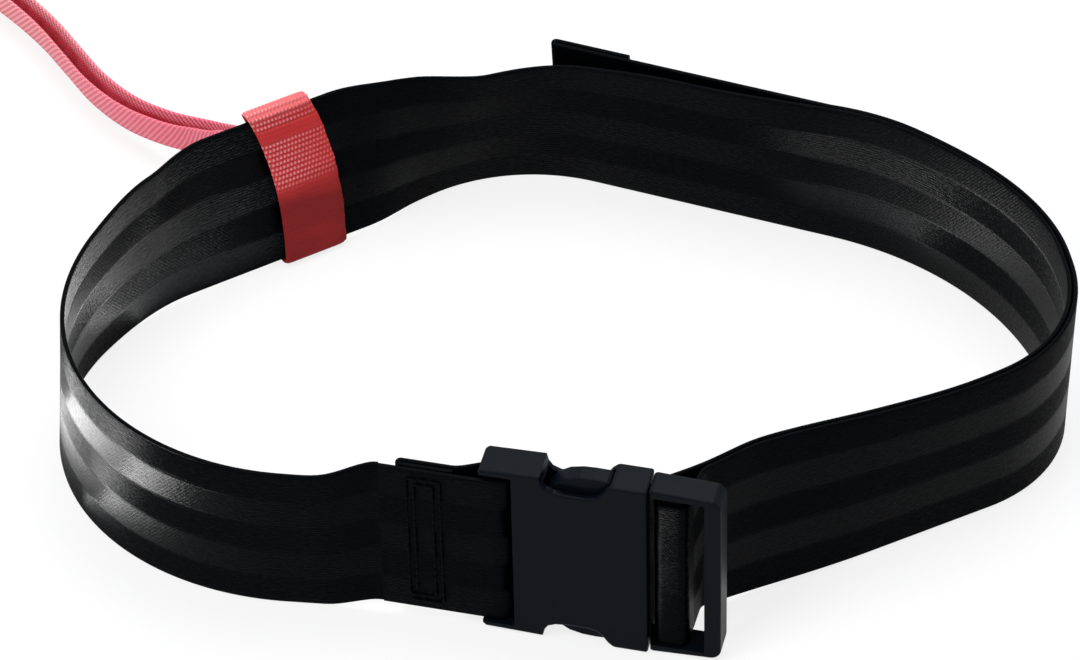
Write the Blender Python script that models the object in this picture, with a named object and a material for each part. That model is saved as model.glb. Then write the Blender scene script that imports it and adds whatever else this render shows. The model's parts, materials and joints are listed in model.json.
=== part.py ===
"""Waist belt of a swim parachute, with its buckle, sliding loop and tether strap.

Metres, +Z up. X runs to the wearer's left, Y away from the buckle, and the belt stands on edge on Z = 0.
The belt's plan is a run of straights and turns, walked clockwise from the buckle's female part, round the
left end, the back and the right end, to the buckle's male part.
"""

import math

import bmesh
import bpy
from mathutils import Matrix, Vector

# Webbing
BELT_WIDTH = 0.050
BELT_THICK = 0.0013
EDGE_ROUND = 0.0003
PLY_GAP = 0.0003
SEAT_GAP = 0.0003
STATION_STEP = 0.0045

# Belt plan: (straight length, turn radius, turn in degrees, positive to the left)
BELT_RUNS = (
    (0.0005, 0.0229, 7.9),
    (0.0224, 0.0715, -141.3),
    (0.0571, 0.0354, 16.4),
    (0.0058, 0.0494, -70.8),
    (0.0724, 0.0935, -61.9),
    (0.0013, 0.0432, -67.3),
)
SLIDER_RUN_INDEX = 2
TAIL_RUN_INDEX = 4
FRAME_TURN_RADIUS = 0.005
TAIL_TURN_RADIUS = 0.0045

# Lean of the belt, outward positive, in degrees, at distances along it
BELT_LEAN = (
    (0.020, 8.5),
    (0.160, -5.5),
    (0.188, -3.3),
    (0.210, 2.5),
    (0.250, 2.5),
    (0.300, -17.6),
    (0.367, -10.8),
    (0.437, -5.7),
    (0.507, 0.2),
    (0.572, 6.0),
    (0.632, 0.0),
)
# Height of the belt's lower edge, raised by the loop under it and by the buckle
BELT_LIFT = (
    (0.016, 0.0),
    (0.170, 0.0),
    (0.200, 0.0018),
    (0.259, 0.0018),
    (0.287, 0.0),
    (0.600, 0.0),
)
FRONT_LEFT_LENGTH = 0.105
FRAME_BLEND = 0.030

# Buckle, in its own frame: x along it, y from its face towards the wearer, z up
BUCKLE_PLACE = (-0.0204, -0.0897)
BUCKLE_HEADING = -13.6
BUCKLE_LEAN = 4.5
MOUTH_MARGIN = 0.0040
REAR_MARGIN = 0.0033
WINDOW_ROOM = 0.0017
STRAP_ROOM = 0.0004
BODY_THICK = 0.0100
BODY_ROUND = 0.0006
PLATE_THICK = 0.0018
BODY_LENGTH = 0.0446
WALL_START = 0.0088
WALL_THICK = 0.0018
NOTCH_START = 0.0163
NOTCH_END = 0.0350
NOTCH_DEPTH = 0.0054
RIM_THICK = 0.0029
BAR_HALF = 0.0025

MOUTH_GAP = 0.0004
FRAME_THICK = 0.0080
FRAME_LENGTH = 0.0190
FRAME_CORNER = 0.0030
FRAME_ROUND = 0.0005
SLOT_WALL = 0.0004
INNER_SLOT = 0.0020
LADDER_WIDTH = 0.0061
LADDER_FRONT = 0.0018
LADDER_BACK = 0.0026
LADDER_ROUND = 0.0011
END_BAR_WIDTH = 0.0044
INNER_HALF_THICK = 0.0027
ROOT_LENGTH = 0.0062
ROOT_DROP = 0.0033
TONGUE_LENGTH = 0.0250
TONGUE_HALF = 0.0065

HINGE_BACK = 0.0032
HINGE_RADIUS = 0.0020
ARM_HALF_THICK = 0.0026
ARM_BLADE = 0.0036
ARM_ROOM = 0.0005
SHOULDER_ROOM = 0.0005
PAD_LENGTH = 0.0165
PAD_TOP_ROOM = 0.0004

# The strap's end on the female part
FRONT_LAYER_LENGTH = 0.0270
FOLD_LENGTH = 0.0215
TURN_UNDER_LENGTH = 0.0140
THREAD = 0.0006
STITCH_INSET = 0.0030
END_STITCH_LENGTH = 0.0090

# The tail
TAIL_END_LENGTH = 0.0830
HEM_LENGTH = 0.0220

# Sliding loop
SLIDER_WIDTH = 0.0200
SLIDER_PLY = 0.0012
SLIDER_PLACE = 0.0355
SLIDER_SLANT = 10.8
SLIDER_CURVE = 2.3
SLIDER_ROOM = 0.0009
SLIDER_EDGE_ROOM = 0.0005
SLIDER_TOP_ROOM = 0.0021
SLIDER_CORNER = 0.0018
SEAM_HEIGHT = 0.0260
SEAM_LENGTH = 0.0260
SEAM_STEP = 0.0010
SIDE_STEPS = 6

# Tether: a strap folded along its middle, open side up. Each point is the middle of the fold.
TETHER_WIDTH = 0.0100
TETHER_PLY = 0.0012
TETHER_OPEN = 0.0070
TETHER_CLOSED = 0.0030
TETHER_STRAIGHT = 0.0100
TETHER_ROUTE = (
    (-0.0912, 0.0894, 0.0172),
    (-0.0969, 0.0977, 0.0118),
    (-0.1047, 0.1067, 0.0074),
    (-0.1157, 0.1152, 0.0045),
    (-0.1272, 0.1262, 0.0022),
    (-0.1377, 0.1397, 0.0013),
    (-0.1462, 0.1542, 0.0013),
    (-0.1537, 0.1672, 0.0013),
    (-0.1617, 0.1787, 0.0013),
    (-0.1697, 0.1887, 0.0013),
    (-0.1782, 0.1992, 0.0013),
    (-0.1859, 0.2090, 0.0013),
)
LEAD_POINTS = 6
ROUTE_PARTS = 3
SPREAD_LENGTH = 0.0300
COIL_CENTRE = (-0.15066, 0.25921)
COIL_RADIUS = 0.0580
COIL_START_ANGLE = 214.0
COIL_PITCH = 0.0040
COIL_TURNS = 2.75
COIL_STEPS = 24
END_BEND_RADIUS = 0.0200
END_BEND_TURN = 95.0
END_RISE = 0.0018
TIE_PLY = 0.0010
TIE_WIDTH = 0.0080
TIE_ROOM = 0.0003
TIE_CORNER = 0.0010
TIE_STEP = 10
EYE_PLY = 0.0018
EYE_LENGTH = 0.0240
EYE_FOLD = 0.0160
EYE_STITCH = 0.0060
RING_WIRE = 0.0025
RING_ROOM = 0.0004
RING_DEPTH = 0.0160
RING_CORNER = 0.0016

# Worked out from the sizes above
STRAP_PITCH = BELT_THICK + PLY_GAP
MOUTH_HALF = BELT_WIDTH / 2 + MOUTH_MARGIN
REAR_HALF = BELT_WIDTH / 2 + REAR_MARGIN
WINDOW_HALF = BELT_WIDTH / 2 + WINDOW_ROOM
STRAP_BASE = MOUTH_HALF - WINDOW_HALF + STRAP_ROOM
CAVITY_HALF = BODY_THICK / 2 - PLATE_THICK
RIM_INNER = MOUTH_HALF - RIM_THICK
BAR_CENTRE = BAR_HALF + 0.0002
BAR_WRAP = BAR_HALF + SEAT_GAP + BELT_THICK / 2
FRAME_START = BODY_LENGTH + MOUTH_GAP
FRAME_END = FRAME_START + FRAME_LENGTH
SLOT_START = FRAME_START + SLOT_WALL
LADDER_START = SLOT_START + INNER_SLOT
LADDER_END = LADDER_START + LADDER_WIDTH
ROOT_START = SLOT_START - ROOT_LENGTH
TONGUE_START = ROOT_START - TONGUE_LENGTH
HINGE_X = FRAME_START - HINGE_BACK
HINGE_Z = RIM_INNER - ARM_ROOM - HINGE_RADIUS
ROOT_HALF = HINGE_Z - ROOT_DROP
SHOULDER_X = NOTCH_END - SHOULDER_ROOM
SLIDER_HALF = BELT_THICK / 2 + SLIDER_ROOM + SLIDER_PLY / 2
SEAM_FACE = SLIDER_HALF + SLIDER_PLY * 3 / 2
COIL_BASE = TIE_PLY + TIE_ROOM


def clear_scene():
    for item in list(bpy.data.objects):
        bpy.data.objects.remove(item, do_unlink=True)


def paint(name, colour, roughness, metallic=0.0):
    material = bpy.data.materials.new(name)
    material.use_nodes = True
    shader = material.node_tree.nodes["Principled BSDF"]
    shader.inputs["Base Color"].default_value = (*colour, 1.0)
    shader.inputs["Roughness"].default_value = roughness
    shader.inputs["Metallic"].default_value = metallic
    material.diffuse_color = (*colour, 1.0)
    return material


def smooth_step(value):
    value = min(max(value, 0.0), 1.0)
    return value * value * (3.0 - 2.0 * value)


def level(knots, distance):
    """The value at a distance, easing from one knot to the next and flat beyond the ends."""
    if distance <= knots[0][0]:
        return knots[0][1]
    for (start, low), (end, high) in zip(knots, knots[1:]):
        if distance <= end:
            return low + (high - low) * smooth_step((distance - start) / (end - start))
    return knots[-1][1]


def add_mesh(name, bm, material, smooth_angle=None, origin=None):
    bmesh.ops.recalc_face_normals(bm, faces=bm.faces)
    if origin is not None:
        bmesh.ops.translate(bm, verts=bm.verts, vec=-Vector(origin))
    mesh = bpy.data.meshes.new(name)
    bm.to_mesh(mesh)
    bm.free()
    mesh.materials.append(material)
    if smooth_angle is not None:
        mesh.shade_smooth()
        mesh.set_sharp_from_angle(angle=math.radians(smooth_angle))
    item = bpy.data.objects.new(name, mesh)
    bpy.context.scene.collection.objects.link(item)
    if origin is not None:
        item.location = origin
    return item


def loft(bm, sections, closed=False):
    """Joins sections of equal point count into one skin, with flat ends unless it closes on itself."""
    rows = [[bm.verts.new(point) for point in section] for section in sections]
    count = len(rows[0])
    pairs = list(zip(rows, rows[1:]))
    if closed:
        pairs.append((rows[-1], rows[0]))
    for row, following in pairs:
        for i in range(count):
            j = (i + 1) % count
            bm.faces.new((row[i], row[j], following[j], following[i]))
    if not closed:
        bm.faces.new(rows[0])
        bm.faces.new(rows[-1])


def strap_section(centre, side, up, thick, width, rounding=EDGE_ROUND):
    """A strap's cross-section: its lower edge's middle is at centre, side is across its thickness."""
    half = thick / 2
    outline = (
        (-half, rounding),
        (-half + rounding, 0.0),
        (half - rounding, 0.0),
        (half, rounding),
        (half, width - rounding),
        (half - rounding, width),
        (-half + rounding, width),
        (-half, width - rounding),
    )
    return [centre + side * across + up * along for across, along in outline]


class Run:
    """A plan path of straights and turns, read by distance as (x, y, heading)."""

    def __init__(self, x, y, heading):
        self.pose = (x, y, heading)
        self.pieces = []
        self.marks = [0.0]

    def add(self, length, turn):
        """One piece: a straight where turn is 0, otherwise an arc that turns by turn radians."""
        if length <= 1e-7:
            return
        self.pieces.append((self.pose, length, turn))
        self.marks.append(self.marks[-1] + length)
        self.pose = self.at(self.marks[-1])

    @property
    def length(self):
        return self.marks[-1]

    def at(self, distance):
        index = 0
        while index < len(self.pieces) - 1 and distance > self.marks[index + 1]:
            index += 1
        (x, y, heading), length, turn = self.pieces[index]
        along = distance - self.marks[index]
        if abs(turn) < 1e-9 or along < 0.0:
            return x + along * math.cos(heading), y + along * math.sin(heading), heading
        radius = length / turn
        end = heading + along / radius
        x += radius * (math.sin(end) - math.sin(heading))
        y -= radius * (math.cos(end) - math.cos(heading))
        return x, y, end

    def arc(self, radius, degrees):
        turn = math.radians(degrees)
        self.add(radius * abs(turn), turn)

    def meet(self, target, heading, radius):
        """Goes straight on, turns once and arrives at target with the given heading."""
        x, y, start = self.pose
        turn = (heading - start + math.pi) % (2 * math.pi) - math.pi
        ahead = Vector((math.cos(start), math.sin(start)))
        arrive = Vector((math.cos(heading), math.sin(heading)))
        gap = Vector(target) - Vector((x, y))
        before = gap.cross(arrive) / ahead.cross(arrive)
        after = ahead.cross(gap) / ahead.cross(arrive)
        tangent = radius * math.tan(abs(turn) / 2)
        self.add(before - tangent, 0.0)
        self.add(radius * abs(turn), turn)
        self.add(after - tangent, 0.0)


def buckle_matrix():
    """Places the buckle's own frame: origin at its left end, middle of its thickness, lower edge."""
    turn = Matrix.Rotation(math.radians(BUCKLE_HEADING), 4, "Z")
    lean = Matrix.Rotation(math.radians(BUCKLE_LEAN), 4, "X")
    lift = math.sin(math.radians(BUCKLE_LEAN)) * BODY_THICK / 2
    return Matrix.Translation((*BUCKLE_PLACE, lift)) @ turn @ lean


BUCKLE = buckle_matrix()


def in_buckle(x, y, z=STRAP_BASE):
    return BUCKLE @ Vector((x, y, z))


def buckle_direction(x, y, z):
    return BUCKLE.to_3x3() @ Vector((x, y, z))


def buckle_strap(name, path, material):
    """A strap that stands across the buckle and follows a path of (x, y) points in its frame."""
    up = buckle_direction(0, 0, 1)
    points = [Vector((x, y)) for x, y in path]
    sections = []
    for i, point in enumerate(points):
        before = points[max(i - 1, 0)]
        after = points[min(i + 1, len(points) - 1)]
        ahead = (after - before).normalized()
        side = buckle_direction(-ahead.y, ahead.x, 0)
        sections.append(strap_section(in_buckle(point.x, point.y), side, up, BELT_THICK, BELT_WIDTH))
    bm = bmesh.new()
    loft(bm, sections)
    return add_mesh(name, bm, material, 40)


def arc_points(centre, radius, start, end, count):
    """Points on an arc in degrees, both ends included."""
    points = []
    for i in range(count + 1):
        angle = math.radians(start + (end - start) * i / count)
        points.append((centre[0] + radius * math.cos(angle), centre[1] + radius * math.sin(angle)))
    return points


def wrap_path():
    """The strap's end on the female part: front layer, turn round the bar, back layer, turned under."""
    front = -BAR_WRAP
    inner = front + 2 * STRAP_PITCH
    points = [(-FRONT_LAYER_LENGTH, front), (-FOLD_LENGTH / 2, front), (0.0, front)]
    points += arc_points((BAR_CENTRE, 0.0), BAR_WRAP, -90, 90, 12)
    ease = 0.0110
    for i in range(1, 6):
        share = smooth_step(i / 5)
        points.append((BAR_CENTRE - ease * i / 5, BAR_WRAP + (inner - BAR_WRAP) * share))
    points.append((-FOLD_LENGTH, inner))
    points += arc_points((-FOLD_LENGTH, inner - STRAP_PITCH / 2), STRAP_PITCH / 2, 90, 270, 6)[1:]
    points.append((-FOLD_LENGTH + TURN_UNDER_LENGTH, front + STRAP_PITCH))
    return points


def adjuster_path():
    """Up through the slot beside the root, over the ladder bar and down through the outer slot."""
    rise = (SLOT_START + LADDER_START) / 2
    corner = LADDER_START + LADDER_ROUND - rise
    front = -LADDER_FRONT - SEAT_GAP - BELT_THICK / 2
    fall = LADDER_END + SEAT_GAP + BELT_THICK / 2
    back = FRAME_THICK / 2 + SEAT_GAP
    points = [(rise, back), (rise, (back + front + corner) / 2)]
    points += arc_points((rise + corner, front + corner), corner, 180, 270, 5)
    points += arc_points((fall - corner, front + corner), corner, -90, 0, 5)
    points += [(fall, (back + front + corner) / 2), (fall, back)]
    return points


def buckle_heading():
    return math.radians(BUCKLE_HEADING)


def belt_run():
    """The belt's single layer, from the female part's strap end to the male part's inner slot."""
    start = in_buckle(-FRONT_LAYER_LENGTH, -BAR_WRAP)
    run = Run(start.x, start.y, buckle_heading() + math.pi)
    starts = []
    for straight, radius, turn in BELT_RUNS:
        starts.append(run.length)
        run.add(straight, 0.0)
        run.arc(radius, turn)
    path = adjuster_path()
    slot = in_buckle(*path[0])
    run.meet((slot.x, slot.y), buckle_heading() - math.pi / 2, FRAME_TURN_RADIUS)
    return run, starts


def tail_run(belt, starts):
    """The tail's outer layer, walked from the male part back to the hem."""
    path = adjuster_path()
    slot = in_buckle(*path[-1])
    offset = BELT_THICK + PLY_GAP
    corner_start = starts[TAIL_RUN_INDEX + 1]
    straight, radius, turn = BELT_RUNS[TAIL_RUN_INDEX + 1]
    x, y, heading = belt.at(corner_start)
    backward = Run(x - offset * math.sin(heading), y + offset * math.cos(heading), heading)
    backward.add(straight, 0.0)
    backward.arc(radius + offset, turn)
    backward.meet((slot.x, slot.y), buckle_heading() - math.pi / 2, TAIL_TURN_RADIUS)
    run = Run(slot.x, slot.y, buckle_heading() + math.pi / 2)
    for _, length, bend in reversed(backward.pieces):
        run.add(length, -bend)
    straight, radius, turn = BELT_RUNS[TAIL_RUN_INDEX]
    run.arc(radius + offset, -turn)
    return run


def lean_at(distance, total):
    knots = ((0.0, BUCKLE_LEAN),) + BELT_LEAN + ((total, BUCKLE_LEAN),)
    return math.radians(level(knots, distance))


def lift_at(distance, total):
    """Height of the lower edge's middle; a leaning strap rests on its corner."""
    base = in_buckle(0.0, 0.0).z
    knots = ((0.0, base),) + BELT_LIFT + ((total - 0.004, base),)
    return level(knots, distance) + BELT_THICK / 2 * abs(math.sin(lean_at(distance, total)))


def belt_section(pose, lean, lift, outward, frame_share=0.0):
    """A belt's cross-section; frame_share moves its tilt from its own lean to the buckle's."""
    x, y, heading = pose
    normal = Vector((-math.sin(heading), math.cos(heading), 0.0)) * outward
    tilt = normal * math.sin(lean)
    buckle_tilt = buckle_direction(0, 0, 1)
    buckle_tilt.z = 0.0
    tilt = tilt.lerp(buckle_tilt, frame_share)
    up = Vector((tilt.x, tilt.y, math.sqrt(1.0 - tilt.length_squared)))
    ahead = Vector((math.cos(heading), math.sin(heading), 0.0))
    side = ahead.cross(up).normalized()
    return strap_section(Vector((x, y, lift)), side, up, BELT_THICK, BELT_WIDTH)


def distances(start, end, step=STATION_STEP):
    count = max(int(math.ceil((end - start) / step)), 2)
    return [start + (end - start) * i / count for i in range(count + 1)]


def stations(run, start, end):
    """Distances from start to end, close together in tight turns."""
    marks = sorted({start, end, *(m for m in run.marks if start + 0.0006 < m < end - 0.0006)})
    result = [start]
    for low, high in zip(marks, marks[1:]):
        middle = (low + high) / 2
        index = max(i for i, m in enumerate(run.marks[:-1]) if m <= middle)
        _, length, turn = run.pieces[index]
        step = STATION_STEP if abs(turn) < 1e-9 else min(STATION_STEP, 0.16 * length / abs(turn))
        result += distances(low, high, step)[1:]
    return result


def frame_share(distance, total):
    return smooth_step(1.0 - (total - distance) / FRAME_BLEND)


def make_belt(belt, black):
    total = belt.length
    spans = (
        ("belt_front_left", SEAT_GAP, FRONT_LEFT_LENGTH),
        ("belt_webbing", FRONT_LEFT_LENGTH + SEAT_GAP, total - SEAT_GAP),
    )
    for name, start, end in spans:
        bm = bmesh.new()
        sections = []
        for distance in stations(belt, start, end):
            lean = lean_at(distance, total)
            lift = lift_at(distance, total)
            share = frame_share(distance, total)
            sections.append(belt_section(belt.at(distance), lean, lift, 1.0, share))
        loft(bm, sections)
        add_mesh(name, bm, black, 40)


def beside_belt(tail, belt, starts, distance):
    """The belt's own distance beside a place on the tail, which runs the other way."""
    corner = starts[TAIL_RUN_INDEX + 1]
    straight, radius, turn = BELT_RUNS[TAIL_RUN_INDEX + 1]
    corner_end = corner + straight + radius * math.radians(abs(turn))
    slot_turn, corner_mark = tail.marks[-5:-3]
    alongside = corner_end + corner_mark - slot_turn
    bend_start = starts[TAIL_RUN_INDEX] + BELT_RUNS[TAIL_RUN_INDEX][0]
    inner = (belt.length, alongside, corner_end, corner + straight, corner, bend_start)
    outer = (0.0,) + tuple(tail.marks[-5:])
    for k in range(5):
        if distance <= outer[k + 1] or k == 4:
            share = (distance - outer[k]) / (outer[k + 1] - outer[k])
            return inner[k] + (inner[k + 1] - inner[k]) * share


def make_tail(belt, tail, starts, black):
    """The tail layer follows the belt; its end is straight, with a folded hem."""
    total = belt.length
    join = tail.length
    bm = bmesh.new()
    sections = []
    for distance in stations(tail, SEAT_GAP, join):
        beside = beside_belt(tail, belt, starts, distance)
        share = frame_share(beside, total)
        pose = tail.at(distance)
        sections.append(belt_section(pose, lean_at(beside, total), lift_at(beside, total), -1.0, share))
    loft(bm, sections)
    add_mesh("tail_layer", bm, black, 40)

    x, y, heading = tail.at(join)
    beside = beside_belt(tail, belt, starts, join)
    lean = lean_at(beside, total)
    forward = Vector((math.cos(heading), math.sin(heading), 0.0))
    outer = Vector((math.sin(heading), -math.cos(heading), 0.0))
    up = outer * math.sin(lean) + Vector((0.0, 0.0, math.cos(lean)))
    across = outer * math.cos(lean) - Vector((0.0, 0.0, math.sin(lean)))
    origin = Vector((x, y, lift_at(beside, total)))
    path = [(SEAT_GAP, 0.0), (TAIL_END_LENGTH - HEM_LENGTH, 0.0), (TAIL_END_LENGTH, 0.0)]
    path += arc_points((TAIL_END_LENGTH, STRAP_PITCH / 2), STRAP_PITCH / 2, -90, 90, 6)[1:]
    path.append((TAIL_END_LENGTH - HEM_LENGTH, STRAP_PITCH))
    bm = bmesh.new()
    sections = []
    for i, (along, out) in enumerate(path):
        before = Vector(path[max(i - 1, 0)])
        after = Vector(path[min(i + 1, len(path) - 1)])
        step = (after - before).normalized()
        side = across * step.x - forward * step.y
        centre = origin + forward * along + across * out
        sections.append(strap_section(centre, side, up, BELT_THICK, BELT_WIDTH))
    loft(bm, sections)
    add_mesh("tail_end", bm, black, 40, origin)
    return origin, forward, across, up


def make_wraps(black):
    buckle_strap("female_strap_wrap", wrap_path(), black)
    buckle_strap("adjuster_wrap", adjuster_path(), black)


def mirrored(upper):
    """An outline anticlockwise round both halves, from its upper half listed right to left."""
    return list(upper) + [(x, -z) for x, z in reversed(upper)]


def inset(outline, amount):
    """The anticlockwise outline moved inwards."""
    result = []
    for i, (x, z) in enumerate(outline):
        point = Vector((x, z))
        before = (point - Vector(outline[i - 1])).normalized()
        after = (Vector(outline[(i + 1) % len(outline)]) - point).normalized()
        inward = Vector((-before.y - after.y, before.x + after.x))
        result.append(point + inward * (2 * amount / inward.length_squared))
    return result


def slab_mesh(outline, half_thick, rounding):
    """A plate across the buckle's depth, with rounded rims; heights are from the buckle's middle."""
    bm = bmesh.new()
    middle = 0.3 * rounding
    rims = ((0.0, rounding), (middle, middle), (rounding, 0.0))
    depths = [(-half_thick + depth, amount) for depth, amount in rims]
    depths += [(half_thick - depth, amount) for depth, amount in reversed(rims)]
    sections = []
    for y, amount in depths:
        sections.append([Vector((p.x, y, MOUTH_HALF + p.y)) for p in inset(outline, amount)])
    loft(bm, sections)
    return bm


def box_mesh(low, high):
    """A box between two corners in the buckle's frame, heights from its middle."""
    bm = bmesh.new()
    (x0, y0, z0), (x1, y1, z1) = low, high
    sections = []
    for z in (z0, z1):
        sections.append([Vector((x, y, MOUTH_HALF + z)) for x, y in ((x0, y0), (x1, y0), (x1, y1), (x0, y1))])
    loft(bm, sections)
    return bm


def bar_mesh(outline, half_length):
    """A bar that stands across the buckle, from its (x, y) outline."""
    bm = bmesh.new()
    sections = []
    for z in (-half_length, half_length):
        sections.append([Vector((x, y, MOUTH_HALF + z)) for x, y in outline])
    loft(bm, sections)
    return bm


def add_buckle_mesh(name, bm, material, origin=(0.0, 0.0, 0.0)):
    bmesh.ops.translate(bm, verts=bm.verts, vec=-Vector(origin))
    item = add_mesh(name, bm, material, 30)
    item.matrix_world = BUCKLE @ Matrix.Translation(origin)
    return item


def combine(item, name, bm, operation):
    """Cuts a hidden shape out of the item, or adds it."""
    tool = add_buckle_mesh(name, bm, item.data.materials[0])
    tool.hide_render = True
    tool.display_type = "WIRE"
    modifier = item.modifiers.new(name, "BOOLEAN")
    modifier.operation = operation
    modifier.solver = "EXACT"
    modifier.object = tool


def make_female_body(plastic):
    floor = MOUTH_HALF - NOTCH_DEPTH
    upper = (
        (BODY_LENGTH, MOUTH_HALF - 0.0004),
        (BODY_LENGTH - 0.0004, MOUTH_HALF),
        (NOTCH_END + 0.0008, MOUTH_HALF),
        (NOTCH_END, MOUTH_HALF - 0.0003),
        (NOTCH_END - 0.0012, floor + 0.0040),
        (NOTCH_END - 0.0026, floor + 0.0019),
        (NOTCH_END - 0.0042, floor + 0.0005),
        (NOTCH_END - 0.0064, floor),
        (NOTCH_START + 0.0070, floor),
        (NOTCH_START + 0.0036, floor + 0.0004),
        (NOTCH_START + 0.0016, floor + 0.0013),
        (NOTCH_START + 0.0005, floor + 0.0030),
        (NOTCH_START, REAR_HALF + 0.0005),
        (0.0009, REAR_HALF),
        (0.0, REAR_HALF - 0.0009),
    )
    body = add_buckle_mesh("buckle_female_body", slab_mesh(mirrored(upper), BODY_THICK / 2, BODY_ROUND), plastic)
    past = 0.0030
    low = (WALL_START + WALL_THICK, -CAVITY_HALF, -RIM_INNER)
    high = (BODY_LENGTH + past, CAVITY_HALF, RIM_INNER)
    combine(body, "female_cavity", box_mesh(low, high), "DIFFERENCE")
    low = (NOTCH_START + 0.0008, -CAVITY_HALF, -MOUTH_HALF - past)
    high = (NOTCH_END, CAVITY_HALF, MOUTH_HALF + past)
    combine(body, "female_notch", box_mesh(low, high), "DIFFERENCE")
    low = (-past, -BODY_THICK / 2 - past, -WINDOW_HALF)
    high = (WALL_START, BODY_THICK / 2 + past, WINDOW_HALF)
    combine(body, "female_window", box_mesh(low, high), "DIFFERENCE")
    bar = arc_points((BAR_CENTRE, 0.0), BAR_HALF, 0, 360, 24)[:-1]
    combine(body, "female_bar", bar_mesh(bar, WINDOW_HALF + SEAT_GAP), "UNION")


def rounded_box(low, high, radius):
    """An anticlockwise rectangle outline with round corners."""
    (x0, y0), (x1, y1) = low, high
    points = arc_points((x1 - radius, y1 - radius), radius, 0, 90, 4)
    points += arc_points((x0 + radius, y1 - radius), radius, 90, 180, 4)
    points += arc_points((x0 + radius, y0 + radius), radius, 180, 270, 4)
    points += arc_points((x1 - radius, y0 + radius), radius, 270, 360, 4)
    return points


def make_male_frame(plastic):
    upper = arc_points((FRAME_END - FRAME_CORNER, REAR_HALF - FRAME_CORNER), FRAME_CORNER, 0, 90, 6)
    upper += [(FRAME_START + 0.0008, MOUTH_HALF), (FRAME_START, MOUTH_HALF - 0.0004)]
    frame = add_buckle_mesh(
        "buckle_male_frame", slab_mesh(mirrored(upper), FRAME_THICK / 2, FRAME_ROUND), plastic
    )
    low = (SLOT_START, -FRAME_THICK, -WINDOW_HALF)
    high = (FRAME_END - END_BAR_WIDTH, FRAME_THICK, WINDOW_HALF)
    combine(frame, "frame_window", box_mesh(low, high), "DIFFERENCE")
    ladder = rounded_box((LADDER_START, -LADDER_FRONT), (LADDER_END, LADDER_BACK), LADDER_ROUND)
    combine(frame, "frame_ladder", bar_mesh(ladder, WINDOW_HALF + SEAT_GAP), "UNION")

    socket = HINGE_RADIUS + SEAT_GAP
    root_top = HINGE_Z + HINGE_RADIUS
    inner = [(SLOT_START - 0.0001, root_top), (HINGE_X + socket - 0.0003, root_top)]
    inner += arc_points((HINGE_X, HINGE_Z), socket, 40, -60, 8)
    inner += [
        (HINGE_X + 0.0011, ROOT_HALF),
        (ROOT_START, ROOT_HALF),
        (ROOT_START, TONGUE_HALF),
        (TONGUE_START + 0.0010, TONGUE_HALF),
        (TONGUE_START, TONGUE_HALF - 0.0010),
    ]
    combine(frame, "frame_root", slab_mesh(mirrored(inner), INNER_HALF_THICK, 0.00015), "UNION")


def make_arm(name, side, plastic):
    """A spring arm with its origin on the axis it bends about; side is 1 above and -1 below."""
    outer = HINGE_Z + HINGE_RADIUS
    inner = outer - ARM_BLADE
    pad_top = MOUTH_HALF - PAD_TOP_ROOM
    tip = SHOULDER_X - PAD_LENGTH
    outline = arc_points((HINGE_X, HINGE_Z), HINGE_RADIUS, -90, 90, 10)
    outline += [
        (SHOULDER_X, outer),
        (SHOULDER_X, pad_top - 0.0006),
        (SHOULDER_X - 0.0008, pad_top - 0.0001),
        (SHOULDER_X - 0.0045, pad_top),
        (SHOULDER_X - 0.0080, pad_top - 0.0002),
        (SHOULDER_X - 0.0115, pad_top - 0.0011),
        (SHOULDER_X - 0.0148, pad_top - 0.0033),
        (tip, pad_top - 0.0056),
        (tip + 0.0004, inner - 0.0005),
        (tip + 0.0024, inner - 0.0011),
        (tip + 0.0072, inner - 0.0005),
        (SHOULDER_X, inner),
    ]
    if side < 0:
        outline = [(x, -z) for x, z in reversed(outline)]
    bm = slab_mesh(outline, ARM_HALF_THICK, 0.0005)
    add_buckle_mesh(name, bm, plastic, (HINGE_X, 0.0, MOUTH_HALF + side * HINGE_Z))


def thread_mesh(points, place, closed=False):
    """A thread along (u, v) points on a face; place turns (u, v, height over the face) into a point."""
    sections = []
    count = len(points)
    for i, point in enumerate(points):
        point = Vector(point)
        before = Vector(points[i - 1]) if i > 0 or closed else None
        after = Vector(points[(i + 1) % count]) if i < count - 1 or closed else None
        arriving = (point - before).normalized() if before else (after - point).normalized()
        leaving = (after - point).normalized() if after else arriving
        across = Vector((-arriving.y - leaving.y, arriving.x + leaving.x))
        across *= THREAD / across.length_squared
        low, high = SEAT_GAP, SEAT_GAP + THREAD
        section = []
        for shift, height in ((across, low), (across, high), (-across, high), (-across, low)):
            section.append(place(point.x + shift.x, point.y + shift.y, height))
        sections.append(section)
    bm = bmesh.new()
    loft(bm, sections, closed)
    return bm


def box_spiral(u0, v0, u1, v1, step):
    """Two rows of stitching round a box, one inside the other, in one thread."""
    return [
        (u0, v0),
        (u1, v0),
        (u1, v1),
        (u0, v1),
        (u0, v0 + step),
        (u1 - step, v0 + step),
        (u1 - step, v1 - step),
        (u0 + step, v1 - step),
        (u0 + step, v0 + 2 * step),
    ]


def make_end_stitch(thread):
    face = -BAR_WRAP - BELT_THICK / 2
    end = -FOLD_LENGTH + TURN_UNDER_LENGTH - STITCH_INSET
    low = STRAP_BASE + STITCH_INSET
    high = STRAP_BASE + BELT_WIDTH - STITCH_INSET
    points = box_spiral(end - END_STITCH_LENGTH, low, end, high, 0.0020)
    bm = thread_mesh(points, lambda u, v, height: in_buckle(u, face - height, v))
    add_mesh("strap_end_stitch", bm, thread)


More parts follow.
